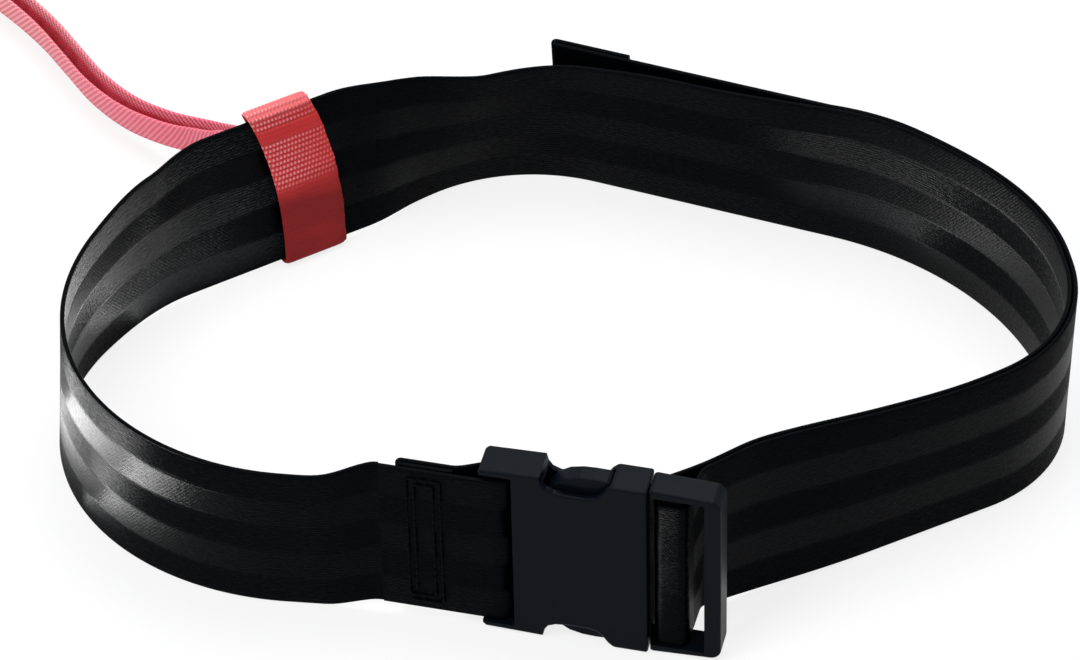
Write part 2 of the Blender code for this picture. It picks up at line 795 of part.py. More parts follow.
def make_hem_stitch(frame, thread):
    origin, forward, across, up = frame
    face = STRAP_PITCH + BELT_THICK / 2
    low, high = STITCH_INSET, BELT_WIDTH - STITCH_INSET
    start = TAIL_END_LENGTH - HEM_LENGTH + STITCH_INSET
    points = box_spiral(start, low, TAIL_END_LENGTH - STITCH_INSET, high, 0.0025)

    def place(u, v, height):
        return origin + forward * u + across * (face + height) + up * v

    add_mesh("tail_hem_stitch", thread_mesh(points, place), thread, None, origin)


def slider_matrix(belt, starts):
    """The sliding loop's frame on the belt: x along the belt, y outwards, z up its width."""
    distance = starts[SLIDER_RUN_INDEX] + SLIDER_PLACE
    x, y, heading = belt.at(distance)
    lean = lean_at(distance, belt.length)
    outward = Vector((-math.sin(heading), math.cos(heading), 0.0))
    ahead = Vector((math.cos(heading), math.sin(heading), 0.0))
    up = outward * math.sin(lean) + Vector((0.0, 0.0, math.cos(lean)))
    place = Matrix((ahead, up.cross(ahead), up)).transposed().to_4x4()
    place.translation = (x, y, lift_at(distance, belt.length))
    return place


def slant_shift(z):
    """How far the loop is pulled along the belt at a height: most at its top edge."""
    share = min(max(z / (BELT_WIDTH + SLIDER_TOP_ROOM), 0.0), 1.0)
    return BELT_WIDTH * math.tan(math.radians(SLIDER_SLANT)) * (0.5 - share**SLIDER_CURVE)


def slider_ring():
    """The loop's middle line as (y, z, plies), up the outer side and down the inner one."""
    low = -SLIDER_EDGE_ROOM - SLIDER_PLY / 2
    high = BELT_WIDTH + SLIDER_TOP_ROOM + SLIDER_PLY / 2
    straight_low = low + SLIDER_CORNER
    straight_high = high - SLIDER_CORNER
    seam_low = SEAM_HEIGHT - SEAM_LENGTH / 2
    seam_high = SEAM_HEIGHT + SEAM_LENGTH / 2
    side = distances(straight_low, straight_high, (straight_high - straight_low) / SIDE_STEPS)[1:-1]
    outer = [(z, 1) for z in side if z < seam_low - SEAM_STEP or z > seam_high + SEAM_STEP]
    outer += [(seam_low, 1), (seam_high, 1)]
    outer += [(z, 2) for z in distances(seam_low + SEAM_STEP, seam_high - SEAM_STEP, 0.0080)]
    ring = [(SLIDER_HALF, z, plies) for z, plies in sorted(outer)]
    top = arc_points((SLIDER_HALF - SLIDER_CORNER, straight_high), SLIDER_CORNER, 0, 90, 4)
    top += arc_points((SLIDER_CORNER - SLIDER_HALF, straight_high), SLIDER_CORNER, 90, 180, 4)
    ring += [(y, z, 1) for y, z in top]
    ring += [(-SLIDER_HALF, z, 1) for z in reversed(side)]
    bottom = arc_points((SLIDER_CORNER - SLIDER_HALF, straight_low), SLIDER_CORNER, 180, 270, 4)
    bottom += arc_points((SLIDER_HALF - SLIDER_CORNER, straight_low), SLIDER_CORNER, 270, 360, 4)
    ring += [(y, z, 1) for y, z in bottom]
    return ring, straight_low, straight_high


def make_slider(place, red):
    ring, straight_low, straight_high = slider_ring()
    half = SLIDER_WIDTH / 2
    inside = -SLIDER_PLY / 2
    sections = []
    for y, z, plies in ring:
        core_y = min(max(y, SLIDER_CORNER - SLIDER_HALF), SLIDER_HALF - SLIDER_CORNER)
        core = Vector((core_y, min(max(z, straight_low), straight_high)))
        outward = (Vector((y, z)) - core).normalized()
        outside = inside + SLIDER_PLY * plies
        section = []
        for along, off in (
            (-half + EDGE_ROUND, inside),
            (half - EDGE_ROUND, inside),
            (half, inside + EDGE_ROUND),
            (half, outside - EDGE_ROUND),
            (half - EDGE_ROUND, outside),
            (-half + EDGE_ROUND, outside),
            (-half, outside - EDGE_ROUND),
            (-half, inside + EDGE_ROUND),
        ):
            spot = Vector((y, z)) + outward * off
            section.append(place @ Vector((along + slant_shift(spot.y), spot.x, spot.y)))
        sections.append(section)
    bm = bmesh.new()
    loft(bm, sections, True)
    add_mesh("slider_loop", bm, red, 35)


def make_seam_stitch(place, thread):
    half_width = SLIDER_WIDTH / 2 - 0.0025
    low = SEAM_HEIGHT - SEAM_LENGTH / 2 + 0.0030
    high = SEAM_HEIGHT + SEAM_LENGTH / 2 - 0.0030
    points = [(-half_width, low), (half_width, low), (half_width, high), (-half_width, high)]

    def on_seam(u, v, height):
        return place @ Vector((u + slant_shift(v), SEAM_FACE + height, v))

    add_mesh("slider_seam_stitch", thread_mesh(points, on_seam, True), thread)


def smooth_route(points, parts):
    """A curve through the points, with parts steps between each pair."""
    result = []
    for i in range(len(points) - 1):
        first = points[max(i - 1, 0)]
        last = points[min(i + 2, len(points) - 1)]
        a, b = points[i], points[i + 1]
        for k in range(parts):
            t = k / parts
            result.append(
                0.5
                * (
                    2 * a
                    + (b - first) * t
                    + (2 * first - 5 * a + 4 * b - last) * t * t
                    + (3 * a - first - 3 * b + last) * t * t * t
                )
            )
    result.append(points[-1])
    return result


def coil_points():
    """The coil from the route's end inwards: a straight lead-in, the turns, a bend in and a straight end."""
    start_angle = math.radians(COIL_START_ANGLE)
    centre = Vector((*COIL_CENTRE, COIL_BASE))
    turns = []
    for i in range(int(COIL_TURNS * COIL_STEPS) + 1):
        share = i / COIL_STEPS
        angle = start_angle - 2 * math.pi * share
        radius = COIL_RADIUS - COIL_PITCH * share
        turns.append(centre + Vector((math.cos(angle), math.sin(angle), 0.0)) * radius)
    heading = start_angle - math.pi / 2
    ahead = Vector((math.cos(heading), math.sin(heading), 0.0))
    points = [turns[0] - ahead * TETHER_STRAIGHT, turns[0] - ahead * TETHER_STRAIGHT / 2] + turns

    last = turns[-1]
    run = Run(last.x, last.y, heading - 2 * math.pi * COIL_TURNS)
    run.arc(END_BEND_RADIUS, -END_BEND_TURN)
    bend = run.length
    run.add(TETHER_STRAIGHT, 0.0)
    for distance in distances(0.0, bend, 0.0040)[1:] + distances(bend, run.length, 0.0050)[1:]:
        x, y, _ = run.at(distance)
        rise = END_RISE * smooth_step(distance / bend)
        points.append(Vector((x, y, COIL_BASE + rise)))
    return points, run.pose


def tether_section(centre, ahead, spread):
    """A folded strap's cross-section: two plies on a common fold, spread apart at the top."""
    up = (Vector((0, 0, 1)) - ahead * ahead.z).normalized()
    side = ahead.cross(up)
    half = spread / 2
    base = TETHER_CLOSED / 2
    fold = base - TETHER_PLY
    outline = (
        (-base + 0.0006, 0.0),
        (base - 0.0006, 0.0),
        (base, 0.0008),
        (half, TETHER_WIDTH),
        (half - TETHER_PLY, TETHER_WIDTH),
        (fold / 2, TETHER_PLY),
        (-fold / 2, TETHER_PLY),
        (-half + TETHER_PLY, TETHER_WIDTH),
        (-half, TETHER_WIDTH),
        (-base, 0.0008),
    )
    return [centre + side * across + up * along for across, along in outline]


def directions(points):
    result = []
    for i in range(len(points)):
        before = points[max(i - 1, 0)]
        after = points[min(i + 1, len(points) - 1)]
        result.append((after - before).normalized())
    return result


def add_tether(name, points, aheads, spreads, red, gap):
    """One stretch of the tether, begun a gap late so that it meets the one before it face to face."""
    centres = [points[0] + aheads[0] * gap] + points[1:]
    bm = bmesh.new()
    loft(bm, [tether_section(*station) for station in zip(centres, aheads, spreads)])
    add_mesh(name, bm, red, 30)


def path_length(points):
    return sum((b - a).length for a, b in zip(points, points[1:]))


def make_tether(place, red):
    face = place @ Vector((slant_shift(SEAM_HEIGHT), SEAM_FACE + SEAT_GAP, SEAM_HEIGHT - TETHER_WIDTH / 2))
    outward = place.to_3x3() @ Vector((0, 1, 0))
    coil, end_pose = coil_points()
    knots = [face, face + outward * TETHER_STRAIGHT]
    knots += [Vector(point) for point in TETHER_ROUTE] + [coil[0]]
    route = smooth_route(knots, ROUTE_PARTS)
    for k in range(1, ROUTE_PARTS):
        route[k] = face + outward * (TETHER_STRAIGHT * k / ROUTE_PARTS)
    along = [path_length(route[: i + 1]) for i in range(len(route))]
    spreads = []
    for distance in along:
        opening = smooth_step((distance - TETHER_STRAIGHT) / SPREAD_LENGTH)
        closing = smooth_step((along[-1] - distance) / SPREAD_LENGTH)
        spreads.append(TETHER_CLOSED + (TETHER_OPEN - TETHER_CLOSED) * min(opening, closing))
    split = LEAD_POINTS * ROUTE_PARTS
    last = len(route) - 1
    aheads = directions(route + coil[1:])
    closed = [TETHER_CLOSED] * len(coil)
    add_tether("tether_lead", route[: split + 1], aheads[: split + 1], spreads, red, 0.0)
    add_tether("tether_run", route[split:], aheads[split : last + 1], spreads[split:], red, SEAT_GAP)
    add_tether("tether_coil", coil, aheads[last:], closed, red, SEAT_GAP)
    gap = min(
        (a - b).length
        for i, a in enumerate(coil)
        for b in coil[i + COIL_STEPS // 2 :]
    ) - TETHER_CLOSED
    print("tether lead and run", round(along[-1], 4), "coil", round(path_length(coil), 4))
    print("least gap between the coil's turns", round(gap, 5))
    return end_pose


def make_tie(elastic):
    """A band round the coil's turns, halfway along one of the coil's straight steps."""
    share = (TIE_STEP + 0.5) / COIL_STEPS
    angle = math.radians(COIL_START_ANGLE) - 2 * math.pi * share
    count = int(COIL_TURNS - share) + 1
    flat = math.cos(math.pi / COIL_STEPS)
    outer = (COIL_RADIUS - COIL_PITCH * share) * flat
    inner = outer - COIL_PITCH * (count - 1) * flat
    grow = TETHER_CLOSED / 2 + TIE_ROOM + TIE_PLY / 2 + SEAT_GAP
    top = COIL_BASE + TETHER_WIDTH + TIE_ROOM + TIE_PLY / 2
    ring = rounded_box((inner - grow, TIE_PLY / 2), (outer + grow, top), TIE_CORNER)
    middle = Vector(((inner + outer) / 2, (top + TIE_PLY / 2) / 2))
    radial = Vector((math.cos(angle), math.sin(angle), 0.0))
    along = Vector((-math.sin(angle), math.cos(angle), 0.0))
    upward = Vector((0.0, 0.0, 1.0))
    centre = Vector((*COIL_CENTRE, 0.0))
    sections = []
    for i, spot in enumerate(ring):
        before = Vector(ring[i - 1])
        after = Vector(ring[(i + 1) % len(ring)])
        step = (after - before).normalized()
        outward = Vector((step.y, -step.x))
        if outward.dot(Vector(spot) - middle) < 0:
            outward = -outward
        section = []
        for width, off in ((-1, -1), (1, -1), (1, 1), (-1, 1)):
            point = Vector(spot) + outward * (off * TIE_PLY / 2)
            section.append(centre + radial * point.x + upward * point.y + along * (width * TIE_WIDTH / 2))
        sections.append(section)
    bm = bmesh.new()
    loft(bm, sections, True)
    add_mesh("tether_tie", bm, elastic)


def make_eye(end_pose, red, thread, steel):
    """The sewn eye at the tether's far end, its stitching and the ring in it."""
    x, y, heading = end_pose
    base = COIL_BASE + END_RISE
    place = Matrix.Translation((x, y, 0.0)) @ Matrix.Rotation(heading, 4, "Z")
    pitch = EYE_PLY + PLY_GAP
    wrap = RING_WIRE / 2 + SEAT_GAP + EYE_PLY / 2
    bar_x = EYE_LENGTH - wrap
    middle = pitch / 2
    fold_end = EYE_LENGTH - EYE_FOLD
    ease = 0.0070
    path = [(SEAT_GAP, 0.0), (bar_x - ease, 0.0)]
    for i in range(1, 5):
        path.append((bar_x - ease * (1 - i / 5), (middle - wrap) * smooth_step(i / 5)))
    path += arc_points((bar_x, middle), wrap, -90, 90, 12)
    for i in range(1, 6):
        path.append((bar_x - ease * i / 5, middle + wrap - (wrap - middle) * smooth_step(i / 5)))
    path.append((fold_end, pitch))
    sections = []
    for i, (along, across) in enumerate(path):
        step = (Vector(path[min(i + 1, len(path) - 1)]) - Vector(path[max(i - 1, 0)])).normalized()
        side = place.to_3x3() @ Vector((-step.y, step.x, 0.0))
        centre = place @ Vector((along, across, base))
        sections.append(strap_section(centre, side, Vector((0, 0, 1)), EYE_PLY, TETHER_WIDTH))
    bm = bmesh.new()
    loft(bm, sections)
    add_mesh("tether_end_eye", bm, red, 40)

    face = pitch + EYE_PLY / 2
    low = base + 0.0020
    points = [(fold_end + 0.0015, low), (fold_end + 0.0015 + EYE_STITCH, low)]
    points += [(u, low + EYE_STITCH) for u, _ in reversed(points)]
    bm = thread_mesh(points, lambda u, v, height: place @ Vector((u, face + height, v)), True)
    add_mesh("tether_eye_stitch", bm, thread)

    axis = place @ Vector((bar_x, middle, 0.0))
    half = TETHER_WIDTH / 2 + RING_ROOM + RING_WIRE / 2
    centre_z = base + TETHER_WIDTH / 2
    ring = rounded_box((0.0, -half), (RING_DEPTH - RING_WIRE, half), RING_CORNER)
    turn = Matrix.Rotation(heading, 3, "Z")
    sections = []
    for i, spot in enumerate(ring):
        step = (Vector(ring[(i + 1) % len(ring)]) - Vector(ring[i - 1])).normalized()
        section = []
        for k in range(12):
            angle = 2 * math.pi * k / 12
            out = math.cos(angle) * RING_WIRE / 2
            sideways = math.sin(angle) * RING_WIRE / 2
            local = Vector((spot[0] + step.y * out, sideways, spot[1] - step.x * out))
            section.append(axis + turn @ local + Vector((0.0, 0.0, centre_z)))
        sections.append(section)
    bm = bmesh.new()
    loft(bm, sections, True)
    add_mesh("tether_end_ring", bm, steel, 60, axis)


def build():
    clear_scene()
    black = paint("belt_webbing_black", (0.012, 0.012, 0.014), 0.55)
    plastic = paint("buckle_plastic_black", (0.010, 0.011, 0.016), 0.35)
    dark_thread = paint("black_thread", (0.020, 0.020, 0.022), 0.70)
    red = paint("slider_webbing_red", (0.520, 0.030, 0.026), 0.65)
    pink = paint("tether_webbing_red", (0.780, 0.130, 0.200), 0.60)
    red_thread = paint("red_thread", (0.400, 0.020, 0.024), 0.70)
    elastic = paint("tie_elastic_black", (0.018, 0.018, 0.020), 0.75)
    steel = paint("ring_steel", (0.560, 0.560, 0.580), 0.28, 1.0)
    belt, starts = belt_run()
    tail = tail_run(belt, starts)
    make_belt(belt, black)
    tail_frame = make_tail(belt, tail, starts, black)
    make_hem_stitch(tail_frame, dark_thread)
    make_wraps(black)
    make_end_stitch(dark_thread)
    make_female_body(plastic)
    make_male_frame(plastic)
    make_arm("buckle_arm_upper", 1, plastic)
    make_arm("buckle_arm_lower", -1, plastic)
    place = slider_matrix(belt, starts)
    make_slider(place, red)
    make_seam_stitch(place, red_thread)
    end_pose = make_tether(place, pink)
    make_tie(elastic)
    make_eye(end_pose, pink, red_thread, steel)
    print("belt length", round(belt.length, 4), "tail length", round(tail.length, 4))


build()
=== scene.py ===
"""Looks of a swim parachute's waist belt: webbing, moulded buckle, ribbed sliding loop and folded tether.

Metres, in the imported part's frame: +X to the wearer's left, +Y from the buckle to the belt's back, +Z up.
"""

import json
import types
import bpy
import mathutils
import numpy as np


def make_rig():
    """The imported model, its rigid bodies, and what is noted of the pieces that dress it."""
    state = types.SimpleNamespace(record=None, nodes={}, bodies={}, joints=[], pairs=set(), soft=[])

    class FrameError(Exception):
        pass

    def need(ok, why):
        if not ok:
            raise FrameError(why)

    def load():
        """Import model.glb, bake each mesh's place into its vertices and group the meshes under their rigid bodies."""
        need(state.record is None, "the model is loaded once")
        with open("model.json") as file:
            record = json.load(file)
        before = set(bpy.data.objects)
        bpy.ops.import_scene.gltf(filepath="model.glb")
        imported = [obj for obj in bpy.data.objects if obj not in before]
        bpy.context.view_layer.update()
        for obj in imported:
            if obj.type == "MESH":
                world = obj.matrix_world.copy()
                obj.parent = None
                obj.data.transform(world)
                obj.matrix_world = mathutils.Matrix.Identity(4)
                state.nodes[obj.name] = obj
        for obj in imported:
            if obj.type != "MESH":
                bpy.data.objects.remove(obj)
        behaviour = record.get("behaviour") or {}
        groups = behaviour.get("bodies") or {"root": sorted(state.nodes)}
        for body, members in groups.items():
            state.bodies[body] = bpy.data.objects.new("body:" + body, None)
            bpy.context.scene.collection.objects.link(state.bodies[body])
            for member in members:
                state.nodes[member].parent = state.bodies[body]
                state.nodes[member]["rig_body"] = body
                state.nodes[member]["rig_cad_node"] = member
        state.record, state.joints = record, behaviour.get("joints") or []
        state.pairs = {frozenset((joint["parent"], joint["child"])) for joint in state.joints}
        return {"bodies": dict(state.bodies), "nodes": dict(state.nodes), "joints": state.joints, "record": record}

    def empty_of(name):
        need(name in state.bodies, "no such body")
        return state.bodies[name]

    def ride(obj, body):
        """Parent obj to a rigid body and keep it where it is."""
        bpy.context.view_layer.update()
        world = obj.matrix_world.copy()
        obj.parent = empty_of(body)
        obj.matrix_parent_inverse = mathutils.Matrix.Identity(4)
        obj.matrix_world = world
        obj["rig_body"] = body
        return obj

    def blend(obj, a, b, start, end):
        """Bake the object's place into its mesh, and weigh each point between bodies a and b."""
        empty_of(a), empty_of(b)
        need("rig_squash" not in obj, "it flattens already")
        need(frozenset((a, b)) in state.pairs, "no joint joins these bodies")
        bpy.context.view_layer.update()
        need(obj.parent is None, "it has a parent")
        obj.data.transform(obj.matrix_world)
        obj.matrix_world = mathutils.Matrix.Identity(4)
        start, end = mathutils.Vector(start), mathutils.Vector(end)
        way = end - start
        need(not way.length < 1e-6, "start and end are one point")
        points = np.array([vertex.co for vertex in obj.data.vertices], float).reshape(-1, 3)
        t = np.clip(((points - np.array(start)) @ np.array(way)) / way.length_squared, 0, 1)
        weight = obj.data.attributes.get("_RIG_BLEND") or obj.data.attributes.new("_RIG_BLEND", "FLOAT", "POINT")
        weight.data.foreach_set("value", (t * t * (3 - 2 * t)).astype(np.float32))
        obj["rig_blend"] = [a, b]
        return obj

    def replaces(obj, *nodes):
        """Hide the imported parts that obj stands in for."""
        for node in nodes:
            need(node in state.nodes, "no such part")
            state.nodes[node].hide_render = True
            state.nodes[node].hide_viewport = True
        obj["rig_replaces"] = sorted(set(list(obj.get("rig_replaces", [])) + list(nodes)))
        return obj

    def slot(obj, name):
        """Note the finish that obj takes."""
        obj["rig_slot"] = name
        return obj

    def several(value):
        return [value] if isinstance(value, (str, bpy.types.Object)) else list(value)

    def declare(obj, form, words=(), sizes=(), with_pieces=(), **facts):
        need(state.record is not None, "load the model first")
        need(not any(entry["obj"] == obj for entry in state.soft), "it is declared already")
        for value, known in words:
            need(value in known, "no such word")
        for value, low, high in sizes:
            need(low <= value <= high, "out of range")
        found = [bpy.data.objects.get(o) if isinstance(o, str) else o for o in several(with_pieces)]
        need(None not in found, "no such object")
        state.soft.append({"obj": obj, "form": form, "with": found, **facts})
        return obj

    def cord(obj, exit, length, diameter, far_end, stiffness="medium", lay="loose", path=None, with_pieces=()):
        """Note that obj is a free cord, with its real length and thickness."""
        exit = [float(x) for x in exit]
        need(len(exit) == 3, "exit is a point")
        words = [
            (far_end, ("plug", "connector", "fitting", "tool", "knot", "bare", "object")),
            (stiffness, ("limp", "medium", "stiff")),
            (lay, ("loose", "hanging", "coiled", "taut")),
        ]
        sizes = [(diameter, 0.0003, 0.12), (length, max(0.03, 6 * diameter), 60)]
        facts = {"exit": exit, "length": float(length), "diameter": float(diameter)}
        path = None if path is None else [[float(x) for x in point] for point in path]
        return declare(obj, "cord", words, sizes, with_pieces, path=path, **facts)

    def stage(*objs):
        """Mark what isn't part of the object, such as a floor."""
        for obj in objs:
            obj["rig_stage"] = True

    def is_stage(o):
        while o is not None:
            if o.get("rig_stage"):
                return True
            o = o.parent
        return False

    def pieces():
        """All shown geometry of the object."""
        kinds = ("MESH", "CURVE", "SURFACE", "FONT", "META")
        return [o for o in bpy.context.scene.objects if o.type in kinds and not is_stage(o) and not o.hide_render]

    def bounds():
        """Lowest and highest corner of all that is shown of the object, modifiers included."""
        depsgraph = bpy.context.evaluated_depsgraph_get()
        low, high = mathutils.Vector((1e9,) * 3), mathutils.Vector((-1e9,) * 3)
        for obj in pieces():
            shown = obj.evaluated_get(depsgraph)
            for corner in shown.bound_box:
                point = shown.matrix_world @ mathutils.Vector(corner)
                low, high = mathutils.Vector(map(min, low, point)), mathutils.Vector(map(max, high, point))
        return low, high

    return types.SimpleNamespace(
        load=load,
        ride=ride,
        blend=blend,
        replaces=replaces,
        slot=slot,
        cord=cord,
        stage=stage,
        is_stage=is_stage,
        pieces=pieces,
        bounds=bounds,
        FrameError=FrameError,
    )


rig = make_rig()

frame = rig.load()
CAD_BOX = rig.bounds()

import json
import math

import bpy
from mathutils import Matrix, Vector

# Camera, from the photo's perspective
VIEW_TARGET = Vector((-0.0064, 0.0327, 0.0))
VIEW_PITCH = 38.0
VIEW_DISTANCE = 1.6
VIEW_LENS = 189.5

# Webbing
BELT_WIDTH = 0.050
BELT_THICK = 0.0013
PLY_GAP = 0.0003
SEAT_GAP = 0.0003
STRIPE_WIDTH = 0.010
STATION_STEP = 0.0022
TURN_STEP = 0.06
MARK_ROOM = 0.0004
SELVEDGE_STEPS = 8
FRONT_LAP = 0.0002
TAIL_LAP = 0.0001
SHARP_ANGLE = 50.0

# Belt plan: (straight length, turn radius, turn in degrees, positive to the left)
BELT_RUNS = (
    (0.0005, 0.0229, 7.9),
    (0.0224, 0.0715, -141.3),
    (0.0571, 0.0354, 16.4),
    (0.0058, 0.0494, -70.8),
    (0.0724, 0.0935, -61.9),
    (0.0013, 0.0432, -67.3),
)
SLIDER_RUN = 2
TAIL_RUN = 4
FRAME_TURN_RADIUS = 0.005
TAIL_TURN_RADIUS = 0.0045
BELT_LEAN = (
    (0.020, 8.5),
    (0.160, -5.5),
    (0.188, -3.3),
    (0.210, 2.5),
    (0.250, 2.5),
    (0.300, -17.6),
    (0.367, -10.8),
    (0.437, -5.7),
    (0.507, 0.2),
    (0.572, 6.0),
    (0.632, 0.0),
)
BELT_LIFT = (
    (0.016, 0.0),
    (0.170, 0.0),
    (0.200, 0.0018),
    (0.259, 0.0018),
    (0.287, 0.0),
    (0.600, 0.0),
)
FRONT_LEFT_LENGTH = 0.105
FRAME_BLEND = 0.030
LIFT_BLEND = 0.004

# Buckle frame
BUCKLE_PLACE = (-0.0204, -0.0897)
BUCKLE_HEADING = -13.6
BUCKLE_LEAN = 4.5
MOUTH_HALF = 0.0290
WINDOW_ROOM = 0.0017
STRAP_ROOM = 0.0004
BODY_THICK = 0.0100
BAR_HALF = 0.0025
BAR_OFFSET = 0.0002
BAR_SLACK = 0.0014
FRAME_THICK = 0.0080
SLOT_START = 0.0454
INNER_SLOT = 0.0020
LADDER_WIDTH = 0.0061
LADDER_FRONT = 0.0018
LADDER_ROUND = 0.0011
LADDER_STEPS = 12
WRAP_EASE = 0.0110
FRONT_LAYER_LENGTH = 0.0270
FOLD_LENGTH = 0.0215
TURN_UNDER_LENGTH = 0.0140
STITCH_INSET = 0.0030
END_STITCH_LENGTH = 0.0090
END_ROW_STEP = 0.0020
HEM_ROW_STEP = 0.0025
TAIL_END_LENGTH = 0.0830
HEM_LENGTH = 0.0220

# Sliding loop
SLIDER_WIDTH = 0.0200
SLIDER_PLY = 0.0012
SLIDER_PLACE = 0.0355
SLIDER_SLANT = 10.8
SLIDER_CURVE = 2.3
SLIDER_ROOM = 0.0009
SLIDER_EDGE_ROOM = 0.0005
SLIDER_TOP_ROOM = 0.0021
SLIDER_CORNER = 0.0018
SEAM_HEIGHT = 0.0260
SEAM_LENGTH = 0.0260
SEAM_INSET = 0.0030
SEAM_SIDE = 0.0025
SEAM_RAMP = 0.0008
RIB_PITCH = 0.0017
RIB_DEPTH = 0.00020
RIM_POWER = 14
RIM_ROUND = 0.0003
CORNER_STEPS = 12
BEAD_PITCH = 0.0012

# Stage
FLOOR_SIZE = 3.0
FLOOR_DROP = 0.0004
FLOOR_GLOW = 0.80
PANEL_RISE = 0.0006

# Tether, with its route's points
TETHER_WIDTH = 0.0100
TETHER_PLY = 0.0012
TETHER_OPEN = 0.0070
TETHER_CLOSED = 0.0030
TETHER_STRAIGHT = 0.0100
TETHER_BELLY = 0.0004
FOOT_HEIGHT = 0.0010
CREASE_HEIGHT = 0.0012
CREASE_HALF = 0.00012
HALF_GIRTH = 0.0217
TETHER_ROUTE = (
    (-0.0912, 0.0894, 0.0172),
    (-0.0969, 0.0977, 0.0118),
    (-0.1047, 0.1067, 0.0074),
    (-0.1157, 0.1152, 0.0045),
    (-0.1272, 0.1262, 0.0022),
    (-0.1377, 0.1397, 0.0013),
    (-0.1462, 0.1542, 0.0013),
    (-0.1537, 0.1672, 0.0013),
    (-0.1617, 0.1787, 0.0013),
    (-0.1697, 0.1887, 0.0013),
    (-0.1782, 0.1992, 0.0013),
    (-0.1859, 0.2090, 0.0013),
)
SPREAD_LENGTH = 0.0300
COIL_CENTRE = (-0.15066, 0.25921)
COIL_RADIUS = 0.0580
COIL_START_ANGLE = 214.0
COIL_PITCH = 0.0040
COIL_TURNS = 2.75
COIL_STEPS = 24
END_BEND_RADIUS = 0.0200
END_BEND_TURN = 95.0
END_RISE = 0.0018
TIE_PLY = 0.0010
TIE_WIDTH = 0.0080
TIE_ROOM = 0.0003
TIE_CORNER = 0.0010
TIE_STEP = 10
EYE_PLY = 0.0018
EYE_LENGTH = 0.0240
EYE_FOLD = 0.0160
EYE_EASE = 0.0070
EYE_STITCH_ENDS = (0.0015, 0.0075)
EYE_STITCH_ROWS = (0.0020, 0.0080)
RING_WIRE = 0.0025

STRAP_PITCH = BELT_THICK + PLY_GAP
STRAP_BASE = MOUTH_HALF - BELT_WIDTH / 2 - WINDOW_ROOM + STRAP_ROOM
BAR_CENTRE = BAR_HALF + BAR_OFFSET
BAR_WRAP = BAR_HALF + SEAT_GAP + BELT_THICK / 2
LADDER_START = SLOT_START + INNER_SLOT
LADDER_END = LADDER_START + LADDER_WIDTH
SLIDER_HALF = BELT_THICK / 2 + SLIDER_ROOM + SLIDER_PLY / 2
SEAM_FACE = SLIDER_HALF + SLIDER_PLY * 3 / 2
COIL_BASE = TIE_PLY + TIE_ROOM
UP = Vector((0.0, 0.0, 1.0))


# Paths


def smooth_step(value):
    value = min(max(value, 0.0), 1.0)
    return value * value * (3.0 - 2.0 * value)


def level(knots, distance):
    """A value read from (distance, value) knots, eased between them."""
    if distance <= knots[0][0]:
        return knots[0][1]
    for (start, low), (end, high) in zip(knots, knots[1:]):
        if distance <= end:
            return low + (high - low) * smooth_step((distance - start) / (end - start))
    return knots[-1][1]


def spaced(start, end, step):
    count = max(int(math.ceil((end - start) / step)), 2)
    return [start + (end - start) * i / count for i in range(count + 1)]


def ahead_of(heading):
    return Vector((math.cos(heading), math.sin(heading), 0.0))


def left_of(heading):
    return Vector((-math.sin(heading), math.cos(heading), 0.0))


def arc_points(centre, radius, start, end, count):
    points = []
    for i in range(count + 1):
        angle = math.radians(start + (end - start) * i / count)
        points.append((centre[0] + radius * math.cos(angle), centre[1] + radius * math.sin(angle)))
    return points


def heading_of(points, i):
    """The direction of a path at its point i, from the points beside it."""
    return (Vector(points[min(i + 1, len(points) - 1)]) - Vector(points[max(i - 1, 0)])).normalized()


def distances(points, start=0.0):
    marks = [start]
    for a, b in zip(points, points[1:]):
        marks.append(marks[-1] + (Vector(b) - Vector(a)).length)
    return marks


class Run:
    """A plan path of straights and turns, read by distance as (x, y, heading)."""

    def __init__(self, x, y, heading):
        self.pose = (x, y, heading)
        self.pieces = []
        self.marks = [0.0]

    def add(self, length, turn):
        if length <= 1e-7:
            return
        self.pieces.append((self.pose, length, turn))
        self.marks.append(self.marks[-1] + length)
        self.pose = self.at(self.marks[-1])

    @property
    def length(self):
        return self.marks[-1]

    def at(self, distance):
        index = 0
        while index < len(self.pieces) - 1 and distance > self.marks[index + 1]:
            index += 1
        (x, y, heading), length, turn = self.pieces[index]
        along = distance - self.marks[index]
        if abs(turn) < 1e-9 or along < 0.0:
            return x + along * math.cos(heading), y + along * math.sin(heading), heading
        radius = length / turn
        end = heading + along / radius
        x += radius * (math.sin(end) - math.sin(heading))
        y -= radius * (math.cos(end) - math.cos(heading))
        return x, y, end

    def arc(self, radius, degrees):
        turn = math.radians(degrees)
        self.add(radius * abs(turn), turn)

    def meet(self, target, heading, radius):
        x, y, start = self.pose
        turn = (heading - start + math.pi) % (2 * math.pi) - math.pi
        ahead = Vector((math.cos(start), math.sin(start)))
        arrive = Vector((math.cos(heading), math.sin(heading)))
        gap = Vector(target) - Vector((x, y))
        before = gap.cross(arrive) / ahead.cross(arrive)
        after = ahead.cross(gap) / ahead.cross(arrive)
        tangent = radius * math.tan(abs(turn) / 2)
        self.add(before - tangent, 0.0)
        self.add(radius * abs(turn), turn)
        self.add(after - tangent, 0.0)


def stations(run, start, end):
    """Distances from start to end, closer together in tight turns."""
    marks = sorted({start, end, *(m for m in run.marks if start + MARK_ROOM < m < end - MARK_ROOM)})
    result = [start]
    for low, high in zip(marks, marks[1:]):
        middle = (low + high) / 2
        index = max(i for i, m in enumerate(run.marks[:-1]) if m <= middle or i == 0)
        _, length, turn = run.pieces[index]
        fine = STATION_STEP if abs(turn) < 1e-9 else min(STATION_STEP, TURN_STEP * length / abs(turn))
        result += spaced(low, high, fine)[1:]
    return result


